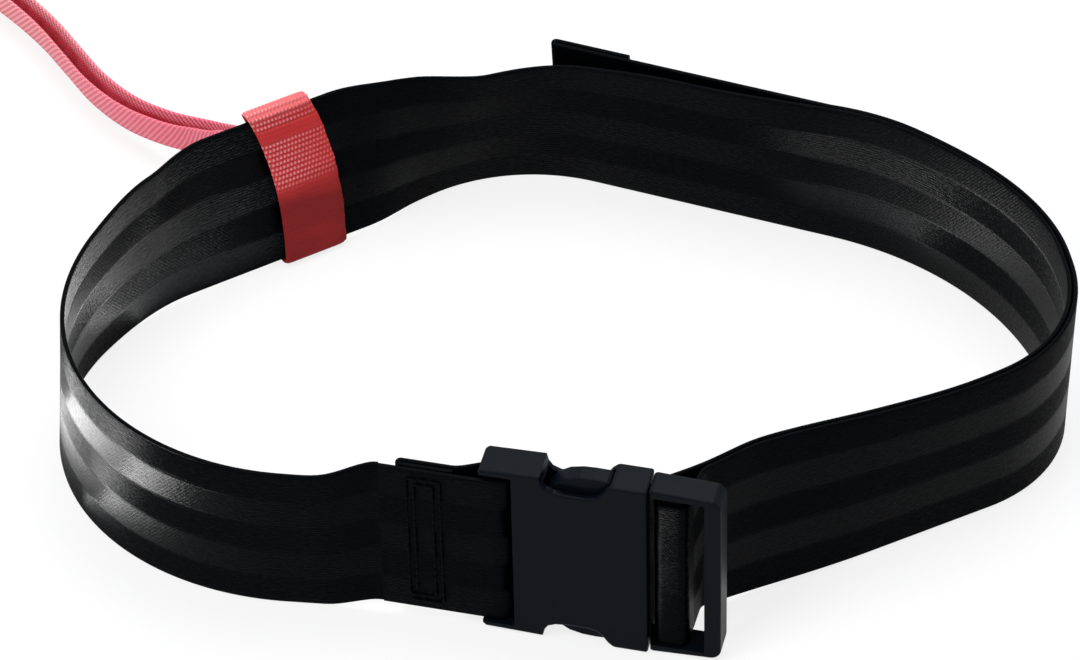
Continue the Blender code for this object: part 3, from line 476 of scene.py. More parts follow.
def buckle_matrix():
    turn = Matrix.Rotation(math.radians(BUCKLE_HEADING), 4, "Z")
    lean = Matrix.Rotation(math.radians(BUCKLE_LEAN), 4, "X")
    lift = math.sin(math.radians(BUCKLE_LEAN)) * BODY_THICK / 2
    return Matrix.Translation((*BUCKLE_PLACE, lift)) @ turn @ lean


BUCKLE = buckle_matrix()
HEADING = math.radians(BUCKLE_HEADING)


def in_buckle(x, y, z=STRAP_BASE):
    return BUCKLE @ Vector((x, y, z))


def buckle_direction(x, y, z):
    return BUCKLE.to_3x3() @ Vector((x, y, z))


def wrap_path():
    front = -BAR_WRAP
    inner = front + 2 * STRAP_PITCH
    points = [(-x, front) for x in spaced(-0.0002, FRONT_LAYER_LENGTH, 0.0030)[::-1]]
    points[-1] = (0.0, front)
    turn = arc_points((BAR_CENTRE, 0.0), BAR_WRAP, -90, 90, 20)
    points += [(x + BAR_SLACK * (x - BAR_CENTRE) / BAR_WRAP, y) for x, y in turn]
    for i in range(1, 13):
        share = smooth_step(i / 12)
        points.append((BAR_CENTRE - WRAP_EASE * i / 12, BAR_WRAP + (inner - BAR_WRAP) * share))
    points.append((-FOLD_LENGTH, inner))
    points += arc_points((-FOLD_LENGTH, inner - STRAP_PITCH / 2), STRAP_PITCH / 2, 90, 270, 10)[1:]
    points.append((-FOLD_LENGTH + TURN_UNDER_LENGTH, front + STRAP_PITCH))
    return points


def adjuster_path():
    rise = (SLOT_START + LADDER_START) / 2
    corner = LADDER_START + LADDER_ROUND - rise
    front = -LADDER_FRONT - SEAT_GAP - BELT_THICK / 2
    fall = LADDER_END + SEAT_GAP + BELT_THICK / 2
    back = FRAME_THICK / 2 + SEAT_GAP
    points = [(rise, back), (rise, (back + front + corner) / 2)]
    points += arc_points((rise + corner, front + corner), corner, 180, 270, LADDER_STEPS)
    points += arc_points((fall - corner, front + corner), corner, -90, 0, LADDER_STEPS)
    points += [(fall, (back + front + corner) / 2), (fall, back)]
    return points


def belt_run():
    start = in_buckle(-FRONT_LAYER_LENGTH, -BAR_WRAP)
    run = Run(start.x, start.y, HEADING + math.pi)
    starts = []
    for straight, radius, turn in BELT_RUNS:
        starts.append(run.length)
        run.add(straight, 0.0)
        run.arc(radius, turn)
    slot = in_buckle(*adjuster_path()[0])
    run.meet((slot.x, slot.y), HEADING - math.pi / 2, FRAME_TURN_RADIUS)
    return run, starts


def tail_run(belt, starts):
    slot = in_buckle(*adjuster_path()[-1])
    straight, radius, turn = BELT_RUNS[TAIL_RUN + 1]
    x, y, heading = belt.at(starts[TAIL_RUN + 1])
    backward = Run(x - STRAP_PITCH * math.sin(heading), y + STRAP_PITCH * math.cos(heading), heading)
    backward.add(straight, 0.0)
    backward.arc(radius + STRAP_PITCH, turn)
    backward.meet((slot.x, slot.y), HEADING - math.pi / 2, TAIL_TURN_RADIUS)
    run = Run(slot.x, slot.y, HEADING + math.pi / 2)
    for _, length, bend in reversed(backward.pieces):
        run.add(length, -bend)
    _, radius, turn = BELT_RUNS[TAIL_RUN]
    run.arc(radius + STRAP_PITCH, -turn)
    return run


BELT, STARTS = belt_run()
TAIL = tail_run(BELT, STARTS)


def lean_at(distance):
    knots = ((0.0, BUCKLE_LEAN),) + BELT_LEAN + ((BELT.length, BUCKLE_LEAN),)
    return math.radians(level(knots, distance))


def lift_at(distance):
    base = in_buckle(0.0, 0.0).z
    knots = ((0.0, base),) + BELT_LIFT + ((BELT.length - LIFT_BLEND, base),)
    return level(knots, distance) + BELT_THICK / 2 * abs(math.sin(lean_at(distance)))


def beside_belt(distance):
    corner = STARTS[TAIL_RUN + 1]
    straight, radius, turn = BELT_RUNS[TAIL_RUN + 1]
    corner_end = corner + straight + radius * math.radians(abs(turn))
    slot_turn, corner_mark = TAIL.marks[-5:-3]
    alongside = corner_end + corner_mark - slot_turn
    bend_start = STARTS[TAIL_RUN] + BELT_RUNS[TAIL_RUN][0]
    inner = (BELT.length, alongside, corner_end, corner + straight, corner, bend_start)
    outer = (0.0,) + tuple(TAIL.marks[-5:])
    for k in range(5):
        if distance <= outer[k + 1] or k == 4:
            share = (distance - outer[k]) / (outer[k + 1] - outer[k])
            return inner[k] + (inner[k + 1] - inner[k]) * share


# Meshes


def add_item(name, data):
    item = bpy.data.objects.new(name, data)
    bpy.context.scene.collection.objects.link(item)
    return item


def skin(name, rings, us, vs, material, closed=False):
    """A skin over rings of points, with its texture coordinates in metres: us along, vs round each ring."""
    count = len(rings[0])
    rows = len(rings)
    points = [tuple(p) for ring in rings for p in ring]
    faces = []
    corners = []
    for i in range(rows if closed else rows - 1):
        k = (i + 1) % rows
        for j in range(count):
            m = (j + 1) % count
            faces.append((i * count + j, i * count + m, k * count + m, k * count + j))
            corners += [(us[i], vs[j]), (us[i], vs[j + 1]), (us[i + 1], vs[j + 1]), (us[i + 1], vs[j])]
    if not closed:
        for i, order in ((0, range(count - 1, -1, -1)), (rows - 1, range(count))):
            faces.append([i * count + j for j in order])
            corners += [(us[i], vs[j]) for j in order]
    mesh = bpy.data.meshes.new(name)
    mesh.from_pydata(points, [], faces)
    layer = mesh.uv_layers.new(name="UVMap")
    for loop, corner in zip(layer.data, corners):
        loop.uv = corner
    mesh.materials.append(material)
    mesh.shade_smooth()
    mesh.update()
    volume = 0.0
    for face in mesh.polygons:
        a = mesh.vertices[face.vertices[0]].co
        for first, second in zip(face.vertices[1:], face.vertices[2:]):
            volume += a.dot(mesh.vertices[first].co.cross(mesh.vertices[second].co))
    if volume < 0:
        mesh.flip_normals()
    mesh.set_sharp_from_angle(angle=math.radians(SHARP_ANGLE))
    return add_item(name, mesh)


def strap_outline(thick, width, cells):
    """A webbing's cross-section as (across, height): round selvedges and a flat face on each side."""
    half = thick / 2
    points = arc_points((0.0, half), half, 180, 360, SELVEDGE_STEPS)
    points += [(half, half + (width - thick) * i / cells) for i in range(1, cells)]
    points += arc_points((0.0, width - half), half, 0, 180, SELVEDGE_STEPS)
    points += [(-half, width - half - (width - thick) * i / cells) for i in range(1, cells)]
    return points


def strap(name, stops, material, thick=BELT_THICK, width=BELT_WIDTH, cells=36, start=0.0):
    """A strap through stops of (lower edge's middle, side, up)."""
    outline = strap_outline(thick, width, cells)
    rings = [[c + s * across + u * height for across, height in outline] for c, s, u in stops]
    us = distances([c + u * width / 2 for c, _, u in stops], start)
    vs = [height for _, height in outline]
    return skin(name, rings, us, vs + vs[:1], material)


def belt_stop(pose, lean, lift, outward, share=0.0):
    x, y, heading = pose
    tilt = left_of(heading) * outward * math.sin(lean)
    buckle_tilt = buckle_direction(0, 0, 1)
    buckle_tilt.z = 0.0
    tilt = tilt.lerp(buckle_tilt, share)
    up = Vector((tilt.x, tilt.y, math.sqrt(1.0 - tilt.length_squared)))
    return Vector((x, y, lift)), ahead_of(heading).cross(up).normalized(), up


def belt_stops(start, end):
    stops = []
    for distance in stations(BELT, start, end):
        share = smooth_step(1.0 - (BELT.length - distance) / FRAME_BLEND)
        stops.append(belt_stop(BELT.at(distance), lean_at(distance), lift_at(distance), 1.0, share))
    return stops


def tail_stops():
    stops = []
    for distance in stations(TAIL, 0.0, TAIL.length + TAIL_LAP):
        beside = beside_belt(distance)
        share = smooth_step(1.0 - (BELT.length - beside) / FRAME_BLEND)
        stops.append(belt_stop(TAIL.at(distance), lean_at(beside), lift_at(beside), -1.0, share))
    return stops


def path_stops(path, place, side_of, up):
    return [(place(*point), side_of(heading_of(path, i)), up) for i, point in enumerate(path)]


def buckle_strap(name, path, material):
    side_of = lambda step: buckle_direction(-step.y, step.x, 0)
    stops = path_stops(path, in_buckle, side_of, buckle_direction(0, 0, 1))
    return strap(name, stops, material)


def tail_frame():
    x, y, heading = TAIL.at(TAIL.length)
    beside = beside_belt(TAIL.length)
    lean = lean_at(beside)
    forward = ahead_of(heading)
    outer = -left_of(heading)
    up = outer * math.sin(lean) + UP * math.cos(lean)
    across = outer * math.cos(lean) - UP * math.sin(lean)
    return Vector((x, y, lift_at(beside))), forward, across, up


def tail_end(material):
    origin, forward, across, up = tail_frame()
    path = [(along, 0.0) for along in spaced(TAIL_LAP, TAIL_END_LENGTH, 0.0025)]
    path += arc_points((TAIL_END_LENGTH, STRAP_PITCH / 2), STRAP_PITCH / 2, -90, 90, 10)[1:]
    path += [(TAIL_END_LENGTH - along, STRAP_PITCH) for along in spaced(0.002, HEM_LENGTH, 0.0025)]
    place = lambda along, out: origin + forward * along + across * out
    side_of = lambda step: across * step.x - forward * step.y
    return strap("tail_end_webbing", path_stops(path, place, side_of, up), material, start=TAIL.length)


def stitches(name, points, place, material, pitch=0.0026, radius=0.00032, closed=False):
    """A row of lockstitches along (u, v) points on a face: short raised threads that dip at needle holes."""
    corners = [Vector(p) for p in points]
    if closed:
        corners.append(corners[0])
    verts, faces = [], []
    profile = ((0.02, 0.35), (0.12, 0.85), (0.35, 1.0), (0.65, 1.0), (0.88, 0.85), (0.98, 0.35))
    around = 8
    for a, b in zip(corners, corners[1:]):
        count = max(int(round((b - a).length / pitch)), 1)
        across = Vector((-(b - a).y, (b - a).x)).normalized()
        for n in range(count):
            base = len(verts)
            for share, size in profile:
                middle = a.lerp(b, (n + share) / count)
                rise = radius * (0.1 + 0.9 * math.sin(math.pi * share))
                for k in range(around):
                    angle = 2 * math.pi * k / around
                    spot = middle + across * (math.cos(angle) * radius * size)
                    height = rise + math.sin(angle) * radius * size
                    verts.append(place(spot.x, spot.y, height))
            for i in range(len(profile) - 1):
                for k in range(around):
                    m = (k + 1) % around
                    row, following = base + i * around, base + (i + 1) * around
                    faces.append((row + k, row + m, following + m, following + k))
            faces.append([base + k for k in range(around)][::-1])
            faces.append([base + (len(profile) - 1) * around + k for k in range(around)])
    mesh = bpy.data.meshes.new(name)
    mesh.from_pydata([tuple(v) for v in verts], [], faces)
    mesh.materials.append(material)
    mesh.shade_smooth()
    return add_item(name, mesh)


def box_rows(u0, v0, u1, v1, step):
    return [
        (u0, v0),
        (u1, v0),
        (u1, v1),
        (u0, v1),
        (u0, v0 + step),
        (u1 - step, v0 + step),
        (u1 - step, v1 - step),
        (u0 + step, v1 - step),
        (u0 + step, v0 + 2 * step),
    ]


# Sliding loop


def slider_matrix():
    distance = STARTS[SLIDER_RUN] + SLIDER_PLACE
    x, y, heading = BELT.at(distance)
    lean = lean_at(distance)
    ahead = ahead_of(heading)
    up = left_of(heading) * math.sin(lean) + UP * math.cos(lean)
    place = Matrix((ahead, up.cross(ahead), up)).transposed().to_4x4()
    place.translation = (x, y, lift_at(distance))
    return place


SLIDER = slider_matrix()


def slant_shift(z):
    share = min(max(z / (BELT_WIDTH + SLIDER_TOP_ROOM), 0.0), 1.0)
    return BELT_WIDTH * math.tan(math.radians(SLIDER_SLANT)) * (0.5 - share**SLIDER_CURVE)


SIDE_HEIGHT = BELT_WIDTH + SLIDER_EDGE_ROOM + SLIDER_TOP_ROOM + SLIDER_PLY - 2 * SLIDER_CORNER
TOP_MIDDLE = SIDE_HEIGHT + math.pi / 2 * SLIDER_CORNER + SLIDER_HALF - SLIDER_CORNER
RIB_BANDS = ((-0.002, -0.001, 0.0066, 0.0078), (0.0112, 0.0126, 0.0262, 0.0300))


def rib_share(down):
    """How strongly the ribs stand out at a distance below the loop's top edge."""
    shares = []
    for a, b, c, d in RIB_BANDS:
        shares.append(smooth_step((down - a) / (b - a)) * smooth_step((d - down) / (d - c)))
    return max(shares)


def slider_loop(material):
    """The red band: fine ribs along the belt, a second ply and a seam on its outer side."""
    low = -SLIDER_EDGE_ROOM - SLIDER_PLY / 2
    high = BELT_WIDTH + SLIDER_TOP_ROOM + SLIDER_PLY / 2
    straight_low = low + SLIDER_CORNER
    straight_high = high - SLIDER_CORNER
    seam_low = SEAM_HEIGHT - SEAM_LENGTH / 2
    seam_high = SEAM_HEIGHT + SEAM_LENGTH / 2
    step = RIB_PITCH / 5
    inner_y = SLIDER_HALF - SLIDER_CORNER
    edge = spaced(-inner_y, inner_y, step)
    line = [(SLIDER_HALF, z) for z in spaced(straight_low, straight_high, step)]
    line += arc_points((inner_y, straight_high), SLIDER_CORNER, 0, 90, CORNER_STEPS)[1:]
    line += [(y, high) for y in edge[::-1][1:-1]]
    line += arc_points((-inner_y, straight_high), SLIDER_CORNER, 90, 180, CORNER_STEPS)
    line += [(-SLIDER_HALF, z) for z in spaced(straight_low, straight_high, step)[::-1][1:]]
    line += arc_points((-inner_y, straight_low), SLIDER_CORNER, 180, 270, CORNER_STEPS)[1:]
    line += [(y, low) for y in edge[1:-1]]
    line += arc_points((inner_y, straight_low), SLIDER_CORNER, 270, 360, CORNER_STEPS)[:-1]
    half = SLIDER_WIDTH / 2
    across = 22
    cells = []
    for k in range(across + 1):
        cells.append((-half + SLIDER_WIDTH * k / across, 1.0 - abs(2 * k / across - 1) ** RIM_POWER))
    us = distances(line + line[:1])
    rings = []
    for (y, z), total in zip(line, us):
        core = Vector((min(max(y, -inner_y), inner_y), min(max(z, straight_low), straight_high)))
        outward = (Vector((y, z)) - core).normalized()
        second = 0.0
        if y > 0 and abs(outward.x) > 0.9:
            second = smooth_step((z - seam_low) / SEAM_RAMP) * smooth_step((seam_high - z) / SEAM_RAMP)
        inside = -SLIDER_PLY / 2
        outside = SLIDER_PLY / 2 + SLIDER_PLY * second
        depth = RIB_DEPTH * (0.22 + 0.78 * rib_share(abs(total - TOP_MIDDLE)))
        rib = depth * (math.cos(2 * math.pi * total / RIB_PITCH) - 1.0)
        wave = 0.00010 * math.sin(total * 420) + 0.00006 * math.sin(total * 1130 + 2)
        ring = []
        for k, (along, soft) in enumerate(cells):
            off = inside + (outside + rib - inside) * (0.55 + 0.45 * soft)
            ring.append((along + wave * (1 if k in (0, across) else 0), off))
        ring += [(along, inside + (1 - soft) * RIM_ROUND) for along, soft in cells[::-1]]
        placed = []
        for along, off in ring:
            spot = Vector((y, z)) + outward * off
            placed.append(SLIDER @ Vector((along + slant_shift(spot.y), spot.x, spot.y)))
        rings.append(placed)
    vs = [SLIDER_WIDTH * k / across for k in range(across + 1)]
    vs += vs[::-1]
    return skin("slider_band", rings, us, vs + vs[:1], material, True)


# Tether


def smooth_route(points, parts):
    result = []
    for i in range(len(points) - 1):
        first = points[max(i - 1, 0)]
        last = points[min(i + 2, len(points) - 1)]
        a, b = points[i], points[i + 1]
        for k in range(parts):
            t = k / parts
            square = (2 * first - 5 * a + 4 * b - last) * t * t
            cubic = (3 * a - first - 3 * b + last) * t * t * t
            result.append(0.5 * (2 * a + (b - first) * t + square + cubic))
    result.append(points[-1])
    return result


def coil_points(fine):
    """The coil from the route's end inwards, in fine times as many steps as the solid's."""
    start_angle = math.radians(COIL_START_ANGLE)
    centre = Vector((*COIL_CENTRE, COIL_BASE))
    steps = COIL_STEPS * fine
    turns = []
    for i in range(int(COIL_TURNS * steps) + 1):
        share = i / steps
        angle = start_angle - 2 * math.pi * share
        radius = COIL_RADIUS - COIL_PITCH * share
        turns.append(centre + ahead_of(angle) * radius)
    heading = start_angle - math.pi / 2
    ahead = ahead_of(heading)
    points = [turns[0] - ahead * TETHER_STRAIGHT * (1 - k / 4) for k in range(4)] + turns
    last = turns[-1]
    run = Run(last.x, last.y, heading - 2 * math.pi * COIL_TURNS)
    run.arc(END_BEND_RADIUS, -END_BEND_TURN)
    bend = run.length
    run.add(TETHER_STRAIGHT, 0.0)
    for distance in spaced(0.0, bend, 0.0020)[1:] + spaced(bend, run.length, 0.0020)[1:]:
        x, y, _ = run.at(distance)
        points.append(Vector((x, y, COIL_BASE + END_RISE * smooth_step(distance / bend))))
    return points, run.pose


def tether_outline(spread):
    """A folded strap's cross-section as (across, height), anticlockwise: round rims and a deep crease."""
    base = TETHER_CLOSED / 2
    half = spread / 2
    rim = TETHER_PLY / 2
    belly = TETHER_BELLY * (spread - TETHER_CLOSED) / (TETHER_OPEN - TETHER_CLOSED)
    right = []
    for i in range(9):
        share = i / 8
        lean = base + (half - base) * share
        height = FOOT_HEIGHT + (TETHER_WIDTH - rim - FOOT_HEIGHT) * share
        right.append((lean + belly * math.sin(math.pi * share), height))
    top = arc_points((half - rim, TETHER_WIDTH - rim), rim, 0, 180, 8)[1:-1]
    inner = []
    for i in range(9):
        share = 1 - i / 8
        lean = CREASE_HALF + (half - TETHER_PLY - CREASE_HALF) * share**1.15
        height = CREASE_HEIGHT + (TETHER_WIDTH - rim - CREASE_HEIGHT) * share
        inner.append((lean + belly * math.sin(math.pi * share), height))
    side = [(0.0, 0.0), (base * 0.55, 0.00015), (base * 0.88, 0.0005)] + right + top + inner
    return side + [(-x, z) for x, z in side[:0:-1]]


def tether_strap(material):
    """The whole tether in one strap: out of the loop's seam, down to the floor, along it and into the coil."""
    out = SLIDER.to_3x3() @ Vector((0, 1, 0))
    face = SLIDER @ Vector((slant_shift(SEAM_HEIGHT), SEAM_FACE, SEAM_HEIGHT - TETHER_WIDTH / 2))
    coil, end_pose = coil_points(3)
    fine = 8
    knots = [face, face + out * TETHER_STRAIGHT] + [Vector(point) for point in TETHER_ROUTE] + [coil[0]]
    route = smooth_route(knots, fine)
    for k in range(1, fine):
        route[k] = face + out * (TETHER_STRAIGHT * k / fine)
    points = route + coil[1:]
    along = distances(points)
    free = along[len(route) - 1]
    rings, path = [], []
    for i, point in enumerate(points):
        ahead = heading_of(points, i)
        up = (UP - ahead * ahead.z).normalized()
        side = ahead.cross(up)
        spread = TETHER_CLOSED
        if along[i] < free:
            opening = smooth_step((along[i] - TETHER_STRAIGHT) / SPREAD_LENGTH)
            closing = smooth_step((free - along[i]) / SPREAD_LENGTH)
            spread += (TETHER_OPEN - TETHER_CLOSED) * min(opening, closing)
        rings.append([point + side * across + up * height for across, height in tether_outline(spread)])
        path.append(point + up * TETHER_WIDTH / 2)
    outline = tether_outline(TETHER_OPEN)
    item = skin("tether_strap", rings, along, distances(outline + outline[:1]), material)
    return item, path, along[-1], end_pose


def tie_band(material):
    share = (TIE_STEP + 0.5) / COIL_STEPS
    angle = math.radians(COIL_START_ANGLE) - 2 * math.pi * share
    count = int(COIL_TURNS - share) + 1
    flat = math.cos(math.pi / COIL_STEPS)
    outer = (COIL_RADIUS - COIL_PITCH * share) * flat
    inner = outer - COIL_PITCH * (count - 1) * flat
    grow = TETHER_CLOSED / 2 + TIE_ROOM + TIE_PLY / 2 + SEAT_GAP
    top = COIL_BASE + TETHER_WIDTH + TIE_ROOM + TIE_PLY / 2
    x0, x1 = inner - grow + TIE_CORNER, outer + grow - TIE_CORNER
    y0, y1 = TIE_PLY / 2 + TIE_CORNER, top - TIE_CORNER
    line = []
    for corner, start in (((x1, y1), 0), ((x0, y1), 90), ((x0, y0), 180), ((x1, y0), 270)):
        line += arc_points(corner, TIE_CORNER, start, start + 90, 8)
    radial = ahead_of(angle)
    along = left_of(angle)
    centre = Vector((*COIL_CENTRE, 0.0))
    outline = strap_outline(TIE_PLY, TIE_WIDTH, 16)
    rings = []
    for i, spot in enumerate(line):
        step = (Vector(line[(i + 1) % len(line)]) - Vector(line[i - 1])).normalized()
        outward = Vector((step.y, -step.x))
        ring = []
        for off, width in outline:
            point = Vector(spot) + outward * off
            ring.append(centre + radial * point.x + UP * point.y + along * (width - TIE_WIDTH / 2))
        rings.append(ring)
    vs = [width for _, width in outline]
    return skin("tie_band", rings, distances(line + line[:1]), vs + vs[:1], material, True)


def end_eye(end_pose, strap_material, thread):
    x, y, heading = end_pose
    base = COIL_BASE + END_RISE
    place = Matrix.Translation((x, y, 0.0)) @ Matrix.Rotation(heading, 4, "Z")
    pitch = EYE_PLY + PLY_GAP
    wrap = RING_WIRE / 2 + SEAT_GAP + EYE_PLY / 2
    bar_x = EYE_LENGTH - wrap
    middle = pitch / 2
    fold_end = EYE_LENGTH - EYE_FOLD
    path = [(0.0, 0.0), (bar_x - EYE_EASE, 0.0)]
    for i in range(1, 10):
        path.append((bar_x - EYE_EASE * (1 - i / 10), (middle - wrap) * smooth_step(i / 10)))
    path += arc_points((bar_x, middle), wrap, -90, 90, 20)
    for i in range(1, 11):
        path.append((bar_x - EYE_EASE * i / 10, middle + wrap - (wrap - middle) * smooth_step(i / 10)))
    path.append((fold_end, pitch))
    side_of = lambda step: place.to_3x3() @ Vector((-step.y, step.x, 0.0))
    stops = path_stops(path, lambda u, v: place @ Vector((u, v, base)), side_of, UP)
    eye = strap("end_eye_strap", stops, strap_material, EYE_PLY, TETHER_WIDTH, 10)
    face = pitch + EYE_PLY / 2
    low, high = (base + row for row in EYE_STITCH_ROWS)
    first, last = (fold_end + end for end in EYE_STITCH_ENDS)
    points = [(first, low), (last, low), (last, high), (first, high)]
    on_face = lambda u, v, h: place @ Vector((u, face + h, v))
    return eye, stitches("end_eye_threads", points, on_face, thread, pitch=0.0020, radius=0.0003, closed=True)


# Materials


class Paint:
    """A procedural material, built from small sums on texture coordinates in metres."""

    def __init__(self, name):
        self.material = bpy.data.materials.new(name)
        self.material.use_nodes = True
        self.tree = self.material.node_tree
        self.shader = self.tree.nodes["Principled BSDF"]

    def add(self, kind, **settings):
        node = self.tree.nodes.new(kind)
        for key, value in settings.items():
            setattr(node, key, value)
        return node

    def put(self, socket, value):
        if hasattr(value, "is_output"):
            self.tree.links.new(value, socket)
        else:
            socket.default_value = value

    def math(self, operation, a, b=0.0, c=0.0):
        node = self.add("ShaderNodeMath", operation=operation)
        for socket, value in zip(node.inputs, (a, b, c)):
            self.put(socket, value)
        return node.outputs[0]

    def times(self, a, b, plus=None):
        if plus is None:
            return self.math("MULTIPLY", a, b)
        return self.math("MULTIPLY_ADD", a, b, plus)

    def uv(self):
        node = self.add("ShaderNodeUVMap", uv_map="UVMap")
        parts = self.add("ShaderNodeSeparateXYZ")
        self.put(parts.inputs[0], node.outputs[0])
        return node.outputs[0], parts.outputs[0], parts.outputs[1]

    def place(self):
        return self.add("ShaderNodeTexCoord").outputs["Object"]

    def noise(self, vector, scale, detail=2.0, rough=0.5, stretch=None):
        if stretch:
            mapping = self.add("ShaderNodeMapping")
            self.put(mapping.inputs["Vector"], vector)
            self.put(mapping.inputs["Scale"], stretch)
            vector = mapping.outputs[0]
        node = self.add("ShaderNodeTexNoise")
        for name, value in (("Vector", vector), ("Scale", scale), ("Detail", detail), ("Roughness", rough)):
            self.put(node.inputs[name], value)
        return node.outputs["Fac"]

    def wave(self, value, pitch, shift=0.0):
        """A wave from 0 to 1 along value, once each pitch."""
        turned = self.times(value, 2 * math.pi / pitch, shift)
        return self.times(self.math("SINE", turned), 0.5, 0.5)

    def span(self, value, low, high, to_low=0.0, to_high=1.0):
        node = self.add("ShaderNodeMapRange")
        self.put(node.inputs["Value"], value)
        for name, number in (("From Min", low), ("From Max", high), ("To Min", to_low), ("To Max", to_high)):
            node.inputs[name].default_value = number
        return node.outputs["Result"]

    def mix(self, share, a, b):
        node = self.add("ShaderNodeMix", data_type="RGBA")
        self.put(node.inputs["Factor"], share)
        self.put(node.inputs["A"], (*a, 1.0) if isinstance(a, tuple) else a)
        self.put(node.inputs["B"], (*b, 1.0) if isinstance(b, tuple) else b)
        return node.outputs["Result"]

    def bump(self, height, depth, normal=None):
        """Raises the surface by height, at depth metres for 1, over a normal map's output if there is one."""
        node = self.add("ShaderNodeBump")
        self.put(node.inputs["Height"], height)
        node.inputs["Distance"].default_value = depth
        node.inputs["Strength"].default_value = 1.0
        if normal is not None:
            self.put(node.inputs["Normal"], normal)
        self.feed("Normal", node.outputs[0])

    def feed(self, name, value):
        self.put(self.shader.inputs[name], value)

    def colour(self, share, first, second):
        self.feed("Base Color", self.mix(share, first, second))

    def rough(self, noise, low, high):
        """Roughness from low to high as a noise goes from 0.3 to 0.7, where most of it lies."""
        self.feed("Roughness", self.span(noise, 0.3, 0.7, low, high))

    def blotch(self, first, second):
        """Half of each of two noises."""
        return self.times(first, 0.5, self.times(second, 0.5))


def webbing_paint(name, dark, light, tilt=0.24):
    """Black warp-faced nylon: lengthwise satin stripes whose yarns lean to and fro, with a fine grain."""
    paint = Paint(name)
    uv, along, height = paint.uv()
    turned = paint.times(height, math.pi / STRIPE_WIDTH)
    stripe = paint.times(paint.math("SINE", turned), -5.0)
    stripe = paint.math("MINIMUM", paint.math("MAXIMUM", stripe, -1.0), 1.0)
    grain = paint.noise(uv, 1500.0, 3.0, 0.6, (0.55, 1.0, 1.0))
    cloud = paint.noise(uv, 90.0, 2.0, 0.5)
    lean = paint.times(stripe, tilt / 2, 0.5)
    lean = paint.times(paint.math("SUBTRACT", grain, 0.5), 0.28, lean)
    nod = paint.noise(uv, 1300.0, 2.0, 0.6, (0.4, 1.0, 1.0))
    nod = paint.times(paint.math("SUBTRACT", nod, 0.5), 0.30, 0.5)
    facing = paint.add("ShaderNodeCombineColor")
    paint.put(facing.inputs[0], lean)
    paint.put(facing.inputs[1], nod)
    facing.inputs[2].default_value = 1.0
    normal = paint.add("ShaderNodeNormalMap", uv_map="UVMap")
    paint.put(normal.inputs["Color"], facing.outputs[0])
    twill = paint.times(stripe, height)
    diagonal = paint.wave(paint.times(twill, 0.9, along), 0.0011)
    yarns = paint.wave(height, 0.0009)
    diagonal = paint.times(diagonal, paint.times(stripe, stripe))
    relief = paint.times(diagonal, 0.16, paint.times(yarns, 0.25))
    relief = paint.times(grain, 1.2, relief)
    paint.colour(paint.blotch(cloud, grain), dark, light)
    paint.rough(grain, 0.30, 0.46)
    paint.feed("Anisotropic", 0.5)
    paint.feed("Anisotropic Rotation", 0.25)
    paint.feed("Specular IOR Level", 0.018)
    tangent = paint.add("ShaderNodeTangent", direction_type="UV_MAP", uv_map="UVMap")
    paint.feed("Tangent", tangent.outputs[0])
    paint.bump(relief, 0.00012, normal.outputs[0])
    return paint.material


def plastic_paint(name, dark, light):
    """Moulded acetal: near black with a fine spark grain, a little smoother where hands rub it."""
    paint = Paint(name)
    spot = paint.place()
    grain = paint.noise(spot, 2600.0, 2.0, 0.6)
    cloud = paint.noise(spot, 60.0, 3.0, 0.55)
    scuff = paint.noise(spot, 350.0, 2.0, 0.5, (0.3, 1.0, 1.8))
    paint.colour(paint.blotch(scuff, cloud), dark, light)
    paint.rough(cloud, 0.30, 0.44)
    paint.feed("Specular IOR Level", 0.05)
    relief = paint.times(grain, 0.5, paint.times(scuff, 0.3))
    paint.bump(relief, 0.00006)
    return paint.material


def slider_paint(name, deep, bright, ridge):
    """Red ribbed webbing: the ribs are in the mesh, and the yarns that cross them bead along each one. Painted sheen:
    pale pink on the rib tops in two bands and along the top edge. Painted shade: darker towards the bottom.
    """
    paint = Paint(name)
    uv, along, across = paint.uv()
    down = paint.math("ABSOLUTE", paint.math("SUBTRACT", along, TOP_MIDDLE))
    beads = paint.wave(paint.times(along, 0.35, across), BEAD_PITCH)
    rib = paint.wave(along, RIB_PITCH, math.pi / 2)
    grain = paint.noise(uv, 2200.0, 2.0, 0.6)
    cloud = paint.noise(uv, 130.0, 2.0, 0.5, (1.0, 0.35, 1.0))
    # Two bands where the ribs stand out; they shape the bump and carry the painted sheen below.
    wear_and_sheen = 0.0
    for a, b, c, d in RIB_BANDS:
        share = paint.times(paint.span(down, a, b), paint.span(down, d, c))
        wear_and_sheen = paint.math("MAXIMUM", share, wear_and_sheen)
    # Painted shade: the red darkens from bright to deep towards the bottom of the loop, with a cloudy edge.
    lower = paint.times(paint.math("SUBTRACT", cloud, 0.5), 0.7, paint.span(down, 0.024, 0.036))
    lower = paint.math("MAXIMUM", paint.math("MINIMUM", lower, 1.0), 0.0)
    shade = paint.mix(lower, bright, deep)
    # Painted sheen: the pale pink ridge colour on the rib tops in these bands, stronger towards one side of the loop,
    # and along its top edge.
    top = paint.times(paint.times(rib, beads), wear_and_sheen)
    top = paint.times(top, paint.span(across, 0.019, 0.005, 0.35, 0.95))
    rim = paint.times(paint.span(down, 0.0045, 0.0015), 0.35)
    top = paint.math("ADD", paint.math("MAXIMUM", top, rim), paint.times(grain, 0.06))
    paint.colour(top, shade, ridge)
    paint.rough(grain, 0.55, 0.75)
    paint.feed("Specular IOR Level", 0.05)
    paint.feed("Sheen Weight", 0.015)
    paint.feed("Sheen Roughness", 0.4)
    creases = paint.noise(uv, 260.0, 2.0, 0.6, (1.6, 0.25, 1.0))
    relief = paint.times(beads, wear_and_sheen)
    relief = paint.times(relief, 0.9, paint.times(grain, 0.5))
    relief = paint.times(creases, 1.2, relief)
    paint.bump(relief, 0.00018)
    return paint.material


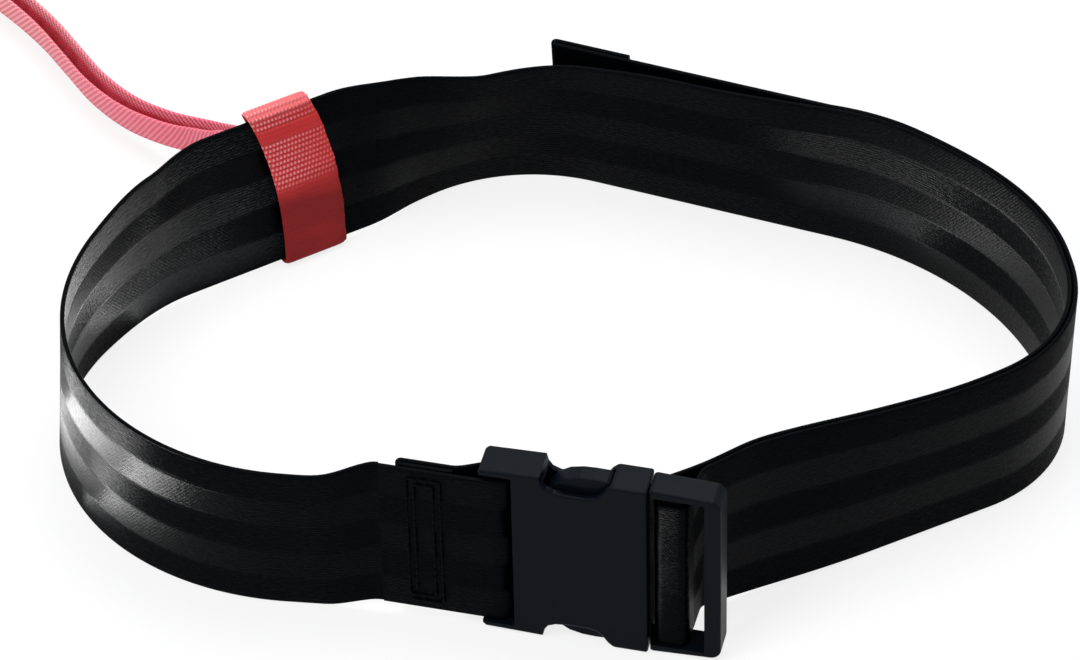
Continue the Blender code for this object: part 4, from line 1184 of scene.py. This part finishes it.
def tether_paint(name, crease, body, ridge, far_pale):
    """Soft pink-red braid: pale slanting yarns on the rims and flanks, and painted shade in deep red in the crease, on
    the fold's inner faces and at its foot.
    """
    paint = Paint(name)
    uv, along, round_ = paint.uv()
    fold = paint.math("PINGPONG", round_, HALF_GIRTH)
    chevron = paint.wave(paint.times(fold, 1.1, along), 0.0021)
    cross = paint.wave(paint.times(fold, -1.3, along), 0.0013)
    grain = paint.noise(uv, 1900.0, 2.0, 0.6)
    cloud = paint.noise(uv, 160.0, 2.0, 0.5)
    # Painted shade: the fold's inner faces take the deep crease colour, clouded with the body colour, and the foot
    # darkens along the braid.
    inside = paint.span(fold, 0.0135, 0.0150)
    foot_shade = paint.span(fold, 0.0030, 0.0010)
    pale = paint.times(chevron, 0.6, paint.times(cross, 0.25))
    # The yarns turn paler from 6 to 16 cm along the tether.
    yarn = paint.mix(paint.span(along, 0.06, 0.16), ridge, far_pale)
    flank = paint.mix(paint.times(grain, 0.2, pale), body, yarn)
    flank = paint.mix(paint.times(foot_shade, chevron), flank, crease)
    deep = paint.mix(paint.span(cloud, 0.3, 0.7), crease, body)
    paint.colour(inside, flank, deep)
    paint.rough(grain, 0.50, 0.72)
    paint.feed("Specular IOR Level", 0.2)
    paint.feed("Sheen Weight", 0.08)
    paint.feed("Sheen Roughness", 0.4)
    relief = paint.times(chevron, 0.9, paint.times(cross, 0.3))
    relief = paint.times(grain, 0.4, relief)
    paint.bump(relief, 0.00025)
    return paint.material


def thread_paint(name, dark, light):
    """Twisted polyester sewing thread."""
    paint = Paint(name)
    grain = paint.noise(paint.place(), 3000.0, 2.0, 0.6)
    paint.feed("Specular IOR Level", 0.03)
    paint.colour(grain, dark, light)
    paint.rough(grain, 0.5, 0.75)
    paint.bump(grain, 0.00015)
    return paint.material


def tie_paint(name, dark, light):
    """Ribbed black elastic."""
    paint = Paint(name)
    _, along, across = paint.uv()
    ribs = paint.wave(across, 0.0008)
    cross = paint.wave(along, 0.0005)
    paint.colour(paint.times(ribs, cross), dark, light)
    paint.feed("Roughness", paint.span(cross, 0.0, 1.0, 0.6, 0.8))
    paint.bump(paint.math("ADD", ribs, cross), 0.00012)
    return paint.material


def steel_paint(name, colour, wear_and_sheen):
    """Polished stainless wire with fine scuffs along it."""
    paint = Paint(name)
    spot = paint.place()
    scuff = paint.noise(spot, 900.0, 3.0, 0.6, (1.0, 1.0, 0.25))
    paint.colour(scuff, colour, wear_and_sheen)
    paint.feed("Metallic", 1.0)
    paint.rough(scuff, 0.16, 0.34)
    paint.bump(scuff, 0.00003)
    return paint.material


# Stage


def add_camera():
    data = bpy.data.cameras.new("photo_view")
    data.lens = VIEW_LENS
    data.clip_start = 0.05
    data.clip_end = 20.0
    camera = add_item("photo_view", data)
    pitch = math.radians(VIEW_PITCH)
    camera.location = VIEW_TARGET + Vector((0.0, -math.cos(pitch), math.sin(pitch))) * VIEW_DISTANCE
    camera.rotation_euler = (math.radians(90.0 - VIEW_PITCH), 0.0, 0.0)
    bpy.context.scene.camera = camera


def add_lamp(name, place, aim, size, power, only=None):
    data = bpy.data.lights.new(name, "AREA")
    data.shape = "RECTANGLE"
    data.size, data.size_y = size
    data.energy = power
    lamp = add_item(name, data)
    lamp.location = place
    lamp.rotation_euler = (Vector(aim) - Vector(place)).to_track_quat("-Z", "Y").to_euler()
    lamp.visible_camera = False
    if only:
        group = bpy.data.collections.new(name + "_lights")
        for piece in only:
            group.objects.link(piece)
        lamp.light_linking.receiver_collection = group
    return lamp


def seen_rays(tree):
    """1 for rays that show a surface straight, in a mirror or through glass, otherwise 0."""
    path = tree.nodes.new("ShaderNodeLightPath")
    total = path.outputs["Is Camera Ray"]
    for name in ("Is Glossy Ray", "Is Transmission Ray"):
        node = tree.nodes.new("ShaderNodeMath")
        node.operation = "MAXIMUM"
        tree.links.new(total, node.inputs[0])
        tree.links.new(path.outputs[name], node.inputs[1])
        total = node.outputs[0]
    return total


def mix_shaders(tree, share, plain, seen, output):
    mix = tree.nodes.new("ShaderNodeMixShader")
    for socket, source in zip(mix.inputs, (share, plain.outputs[0], seen.outputs[0])):
        tree.links.new(source, socket)
    tree.links.new(mix.outputs[0], tree.nodes[output].inputs["Surface"])


def add_floor():
    size = FLOOR_SIZE
    mesh = bpy.data.meshes.new("floor")
    corners = [(x, y, -FLOOR_DROP) for x, y in ((-size, -size), (size, -size), (size, size), (-size, size))]
    mesh.from_pydata(corners, [], [(0, 1, 2, 3)])
    floor = add_item("floor", mesh)
    paint = Paint("floor_white")
    paint.feed("Base Color", (0.86, 0.86, 0.86, 1.0))
    paint.feed("Roughness", 0.9)
    paint.feed("Specular IOR Level", 0.1)
    glow = paint.add("ShaderNodeEmission")
    glow.inputs["Color"].default_value = (1.0, 1.0, 1.0, 1.0)
    share = paint.times(seen_rays(paint.tree), FLOOR_GLOW)
    mix_shaders(paint.tree, share, paint.shader, glow, "Material Output")
    mesh.materials.append(paint.material)
    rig.stage(floor)


def add_world():
    world = bpy.data.worlds.new("studio")
    world.use_nodes = True
    tree = world.node_tree
    soft = tree.nodes["Background"]
    soft.inputs["Color"].default_value = (0.95, 0.97, 1.0, 1.0)
    soft.inputs["Strength"].default_value = 0.45
    white = tree.nodes.new("ShaderNodeBackground")
    white.inputs["Color"].default_value = (1.0, 1.0, 1.0, 1.0)
    white.inputs["Strength"].default_value = 1.0
    mix_shaders(tree, seen_rays(tree), soft, white, "World Output")
    bpy.context.scene.world = world


def add_light():
    add_lamp("softbox_left", (-0.60, -0.60, 0.95), (0.0, 0.0, 0.03), (0.6, 0.6), 9.0)
    add_lamp("softbox_top", (0.10, 0.30, 1.2), (0.0, 0.0, 0.0), (0.8, 0.8), 12.0)


def add_panel(name, centre, size, glow, pieces, turn=0.0):
    """A light panel on the table, glow times as bright as white paper, that shows only in the sheen."""
    power = glow * math.pi * size[0] * size[1]
    lamp = add_lamp(name, (*centre, PANEL_RISE), (*centre, 1.0), size, power, only=pieces)
    lamp.rotation_euler = (math.pi, 0.0, math.radians(turn))
    lamp.visible_diffuse = False


def add_glow(pieces, fold):
    """Low panels beside the belt's turns, which the satin webbing shows as bright stripes."""
    add_panel("panel_left", (-0.1640, -0.0230), (0.0340, 0.0430), 16.0, pieces)
    add_panel("panel_corner", (-0.1525, -0.0625), (0.0370, 0.0300), 28.0, pieces)
    add_panel("panel_inner_left", (-0.0930, 0.0345), (0.0460, 0.0170), 20.0, pieces, 23.0)
    add_panel("panel_inner_right", (0.0770, 0.0540), (0.0340, 0.0110), 24.0, pieces, -5.0)
    add_panel("panel_fold", (-0.0050, -0.1250), (0.0340, 0.0300), 12.0, fold)


def belt_point(distance):
    x, y, _ = BELT.at(distance)
    return (x, y, BELT_WIDTH / 2)


def build():
    bpy.context.scene.view_settings.view_transform = "Standard"
    add_camera()
    add_world()
    add_floor()
    add_light()

    black = webbing_paint("webbing_black", (0.0003, 0.0005, 0.0008), (0.0012, 0.0017, 0.0026))
    # The adjuster's webbing: the belt webbing with calmer stripes, and colours a third darker as painted shade.
    turned = webbing_paint("webbing_black_turned_shaded", (0.0002, 0.0003, 0.0006), (0.0008, 0.0011, 0.0018), 0.03)
    plastic = plastic_paint("buckle_plastic", (0.0008, 0.0018, 0.0034), (0.0020, 0.0036, 0.0064))
    black_thread = thread_paint("thread_black", (0.0009, 0.0011, 0.0015), (0.0030, 0.0033, 0.0042))
    # In the loop's paint the deep red is painted shade and the pale pink is painted sheen.
    red = slider_paint("slider_red", (0.20, 0.006, 0.006), (0.60, 0.030, 0.030), (0.95, 0.36, 0.38))
    red_thread = thread_paint("thread_red", (0.30, 0.012, 0.012), (0.52, 0.05, 0.05))
    # The crease colour is the tether's painted shade.
    crease, body = (0.40, 0.010, 0.024), (0.58, 0.040, 0.075)
    pink = tether_paint("tether_pink", crease, body, (0.84, 0.25, 0.33), (0.90, 0.44, 0.46))
    elastic = tie_paint("tie_elastic", (0.010, 0.010, 0.011), (0.035, 0.035, 0.038))
    steel = steel_paint("ring_steel_worn", (0.52, 0.52, 0.54), (0.66, 0.66, 0.68))

    tether, path, length, end_pose = tether_strap(pink)
    eye, eye_threads = end_eye(end_pose, pink, red_thread)
    tie = tie_band(elastic)
    ring = frame["nodes"]["tether_end_ring"]
    coiled = (
        (tether, "tether_coil"),
        (eye, "tether_end_eye"),
        (eye_threads, "tether_eye_stitch"),
        (tie, "tether_tie"),
    )
    for piece, node in coiled:
        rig.ride(piece, "slider")
        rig.replaces(piece, node)
    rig.replaces(tether, "tether_lead", "tether_run")
    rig.slot(tether, "tether_webbing_red")
    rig.slot(eye, "tether_webbing_red")
    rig.slot(eye_threads, "red_thread")
    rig.slot(tie, "tie_elastic_black")
    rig.cord(
        tether,
        exit=path[0],
        length=round(length, 3),
        diameter=TETHER_WIDTH,
        far_end="fitting",
        stiffness="limp",
        lay="coiled",
        path=path,
        with_pieces=[eye, eye_threads, tie, ring],
    )

    front = strap("belt_front_webbing", belt_stops(0.0, FRONT_LEFT_LENGTH + FRONT_LAP), black)
    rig.blend(front, "belt", "female", start=belt_point(FRONT_LEFT_LENGTH), end=belt_point(0.0))
    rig.replaces(front, "belt_front_left")
    stops = belt_stops(FRONT_LEFT_LENGTH, BELT.length)
    band = strap("belt_band_webbing", stops, black, start=FRONT_LEFT_LENGTH)
    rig.ride(band, "belt")
    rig.replaces(band, "belt_webbing")
    layer = strap("tail_layer_webbing", tail_stops(), black)
    origin, forward, across, up = tail_frame()
    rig.blend(layer, "belt", "tail", start=(0.135, -0.020, 0.025), end=(origin.x, origin.y, 0.025))
    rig.replaces(layer, "tail_layer")
    end = tail_end(black)
    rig.ride(end, "tail")
    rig.replaces(end, "tail_end")
    wrap = buckle_strap("female_wrap_webbing", wrap_path(), black)
    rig.ride(wrap, "female")
    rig.replaces(wrap, "female_strap_wrap")
    adjuster = buckle_strap("adjuster_webbing", adjuster_path(), turned)
    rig.ride(adjuster, "belt")
    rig.replaces(adjuster, "adjuster_wrap")
    webbing = (front, band, layer, end, wrap, adjuster)
    for piece in webbing:
        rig.slot(piece, "belt_webbing_black")
    add_glow(webbing, [adjuster])

    face = -BAR_WRAP - BELT_THICK / 2
    edge = -FOLD_LENGTH + TURN_UNDER_LENGTH - STITCH_INSET
    low, high = STRAP_BASE + STITCH_INSET, STRAP_BASE + BELT_WIDTH - STITCH_INSET
    points = box_rows(edge - END_STITCH_LENGTH, low, edge, high, END_ROW_STEP)
    sewn = stitches("strap_end_threads", points, lambda u, v, h: in_buckle(u, face - h, v), black_thread)
    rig.ride(sewn, "female")
    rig.replaces(sewn, "strap_end_stitch")
    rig.slot(sewn, "black_thread")
    hem_face = STRAP_PITCH + BELT_THICK / 2
    hem_start = TAIL_END_LENGTH - HEM_LENGTH + STITCH_INSET
    hem_end, hem_top = TAIL_END_LENGTH - STITCH_INSET, BELT_WIDTH - STITCH_INSET
    points = box_rows(hem_start, STITCH_INSET, hem_end, hem_top, HEM_ROW_STEP)
    on_hem = lambda u, v, h: origin + forward * u + across * (hem_face + h) + up * v
    hem = stitches("tail_hem_threads", points, on_hem, black_thread)
    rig.ride(hem, "tail")
    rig.replaces(hem, "tail_hem_stitch")
    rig.slot(hem, "black_thread")

    loop = slider_loop(red)
    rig.ride(loop, "slider")
    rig.replaces(loop, "slider_loop")
    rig.slot(loop, "slider_webbing_red")
    half = SLIDER_WIDTH / 2 - SEAM_SIDE
    low = SEAM_HEIGHT - SEAM_LENGTH / 2 + SEAM_INSET
    high = SEAM_HEIGHT + SEAM_LENGTH / 2 - SEAM_INSET
    points = [(-half, low), (half, low), (half, high), (-half, high)]
    on_loop = lambda u, v, h: SLIDER @ Vector((u + slant_shift(v), SEAM_FACE + h, v))
    seam = stitches("slider_seam_threads", points, on_loop, red_thread, closed=True)
    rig.ride(seam, "slider")
    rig.replaces(seam, "slider_seam_stitch")
    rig.slot(seam, "red_thread")

    for node in ("buckle_female_body", "buckle_male_frame", "buckle_arm_upper", "buckle_arm_lower"):
        frame["nodes"][node].material_slots[0].material = plastic
    ring.material_slots[0].material = steel


build()
low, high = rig.bounds()
with open("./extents.json", "w") as out:
    json.dump({"cad": [list(c) for c in CAD_BOX], "visual": [list(low), list(high)]}, out)
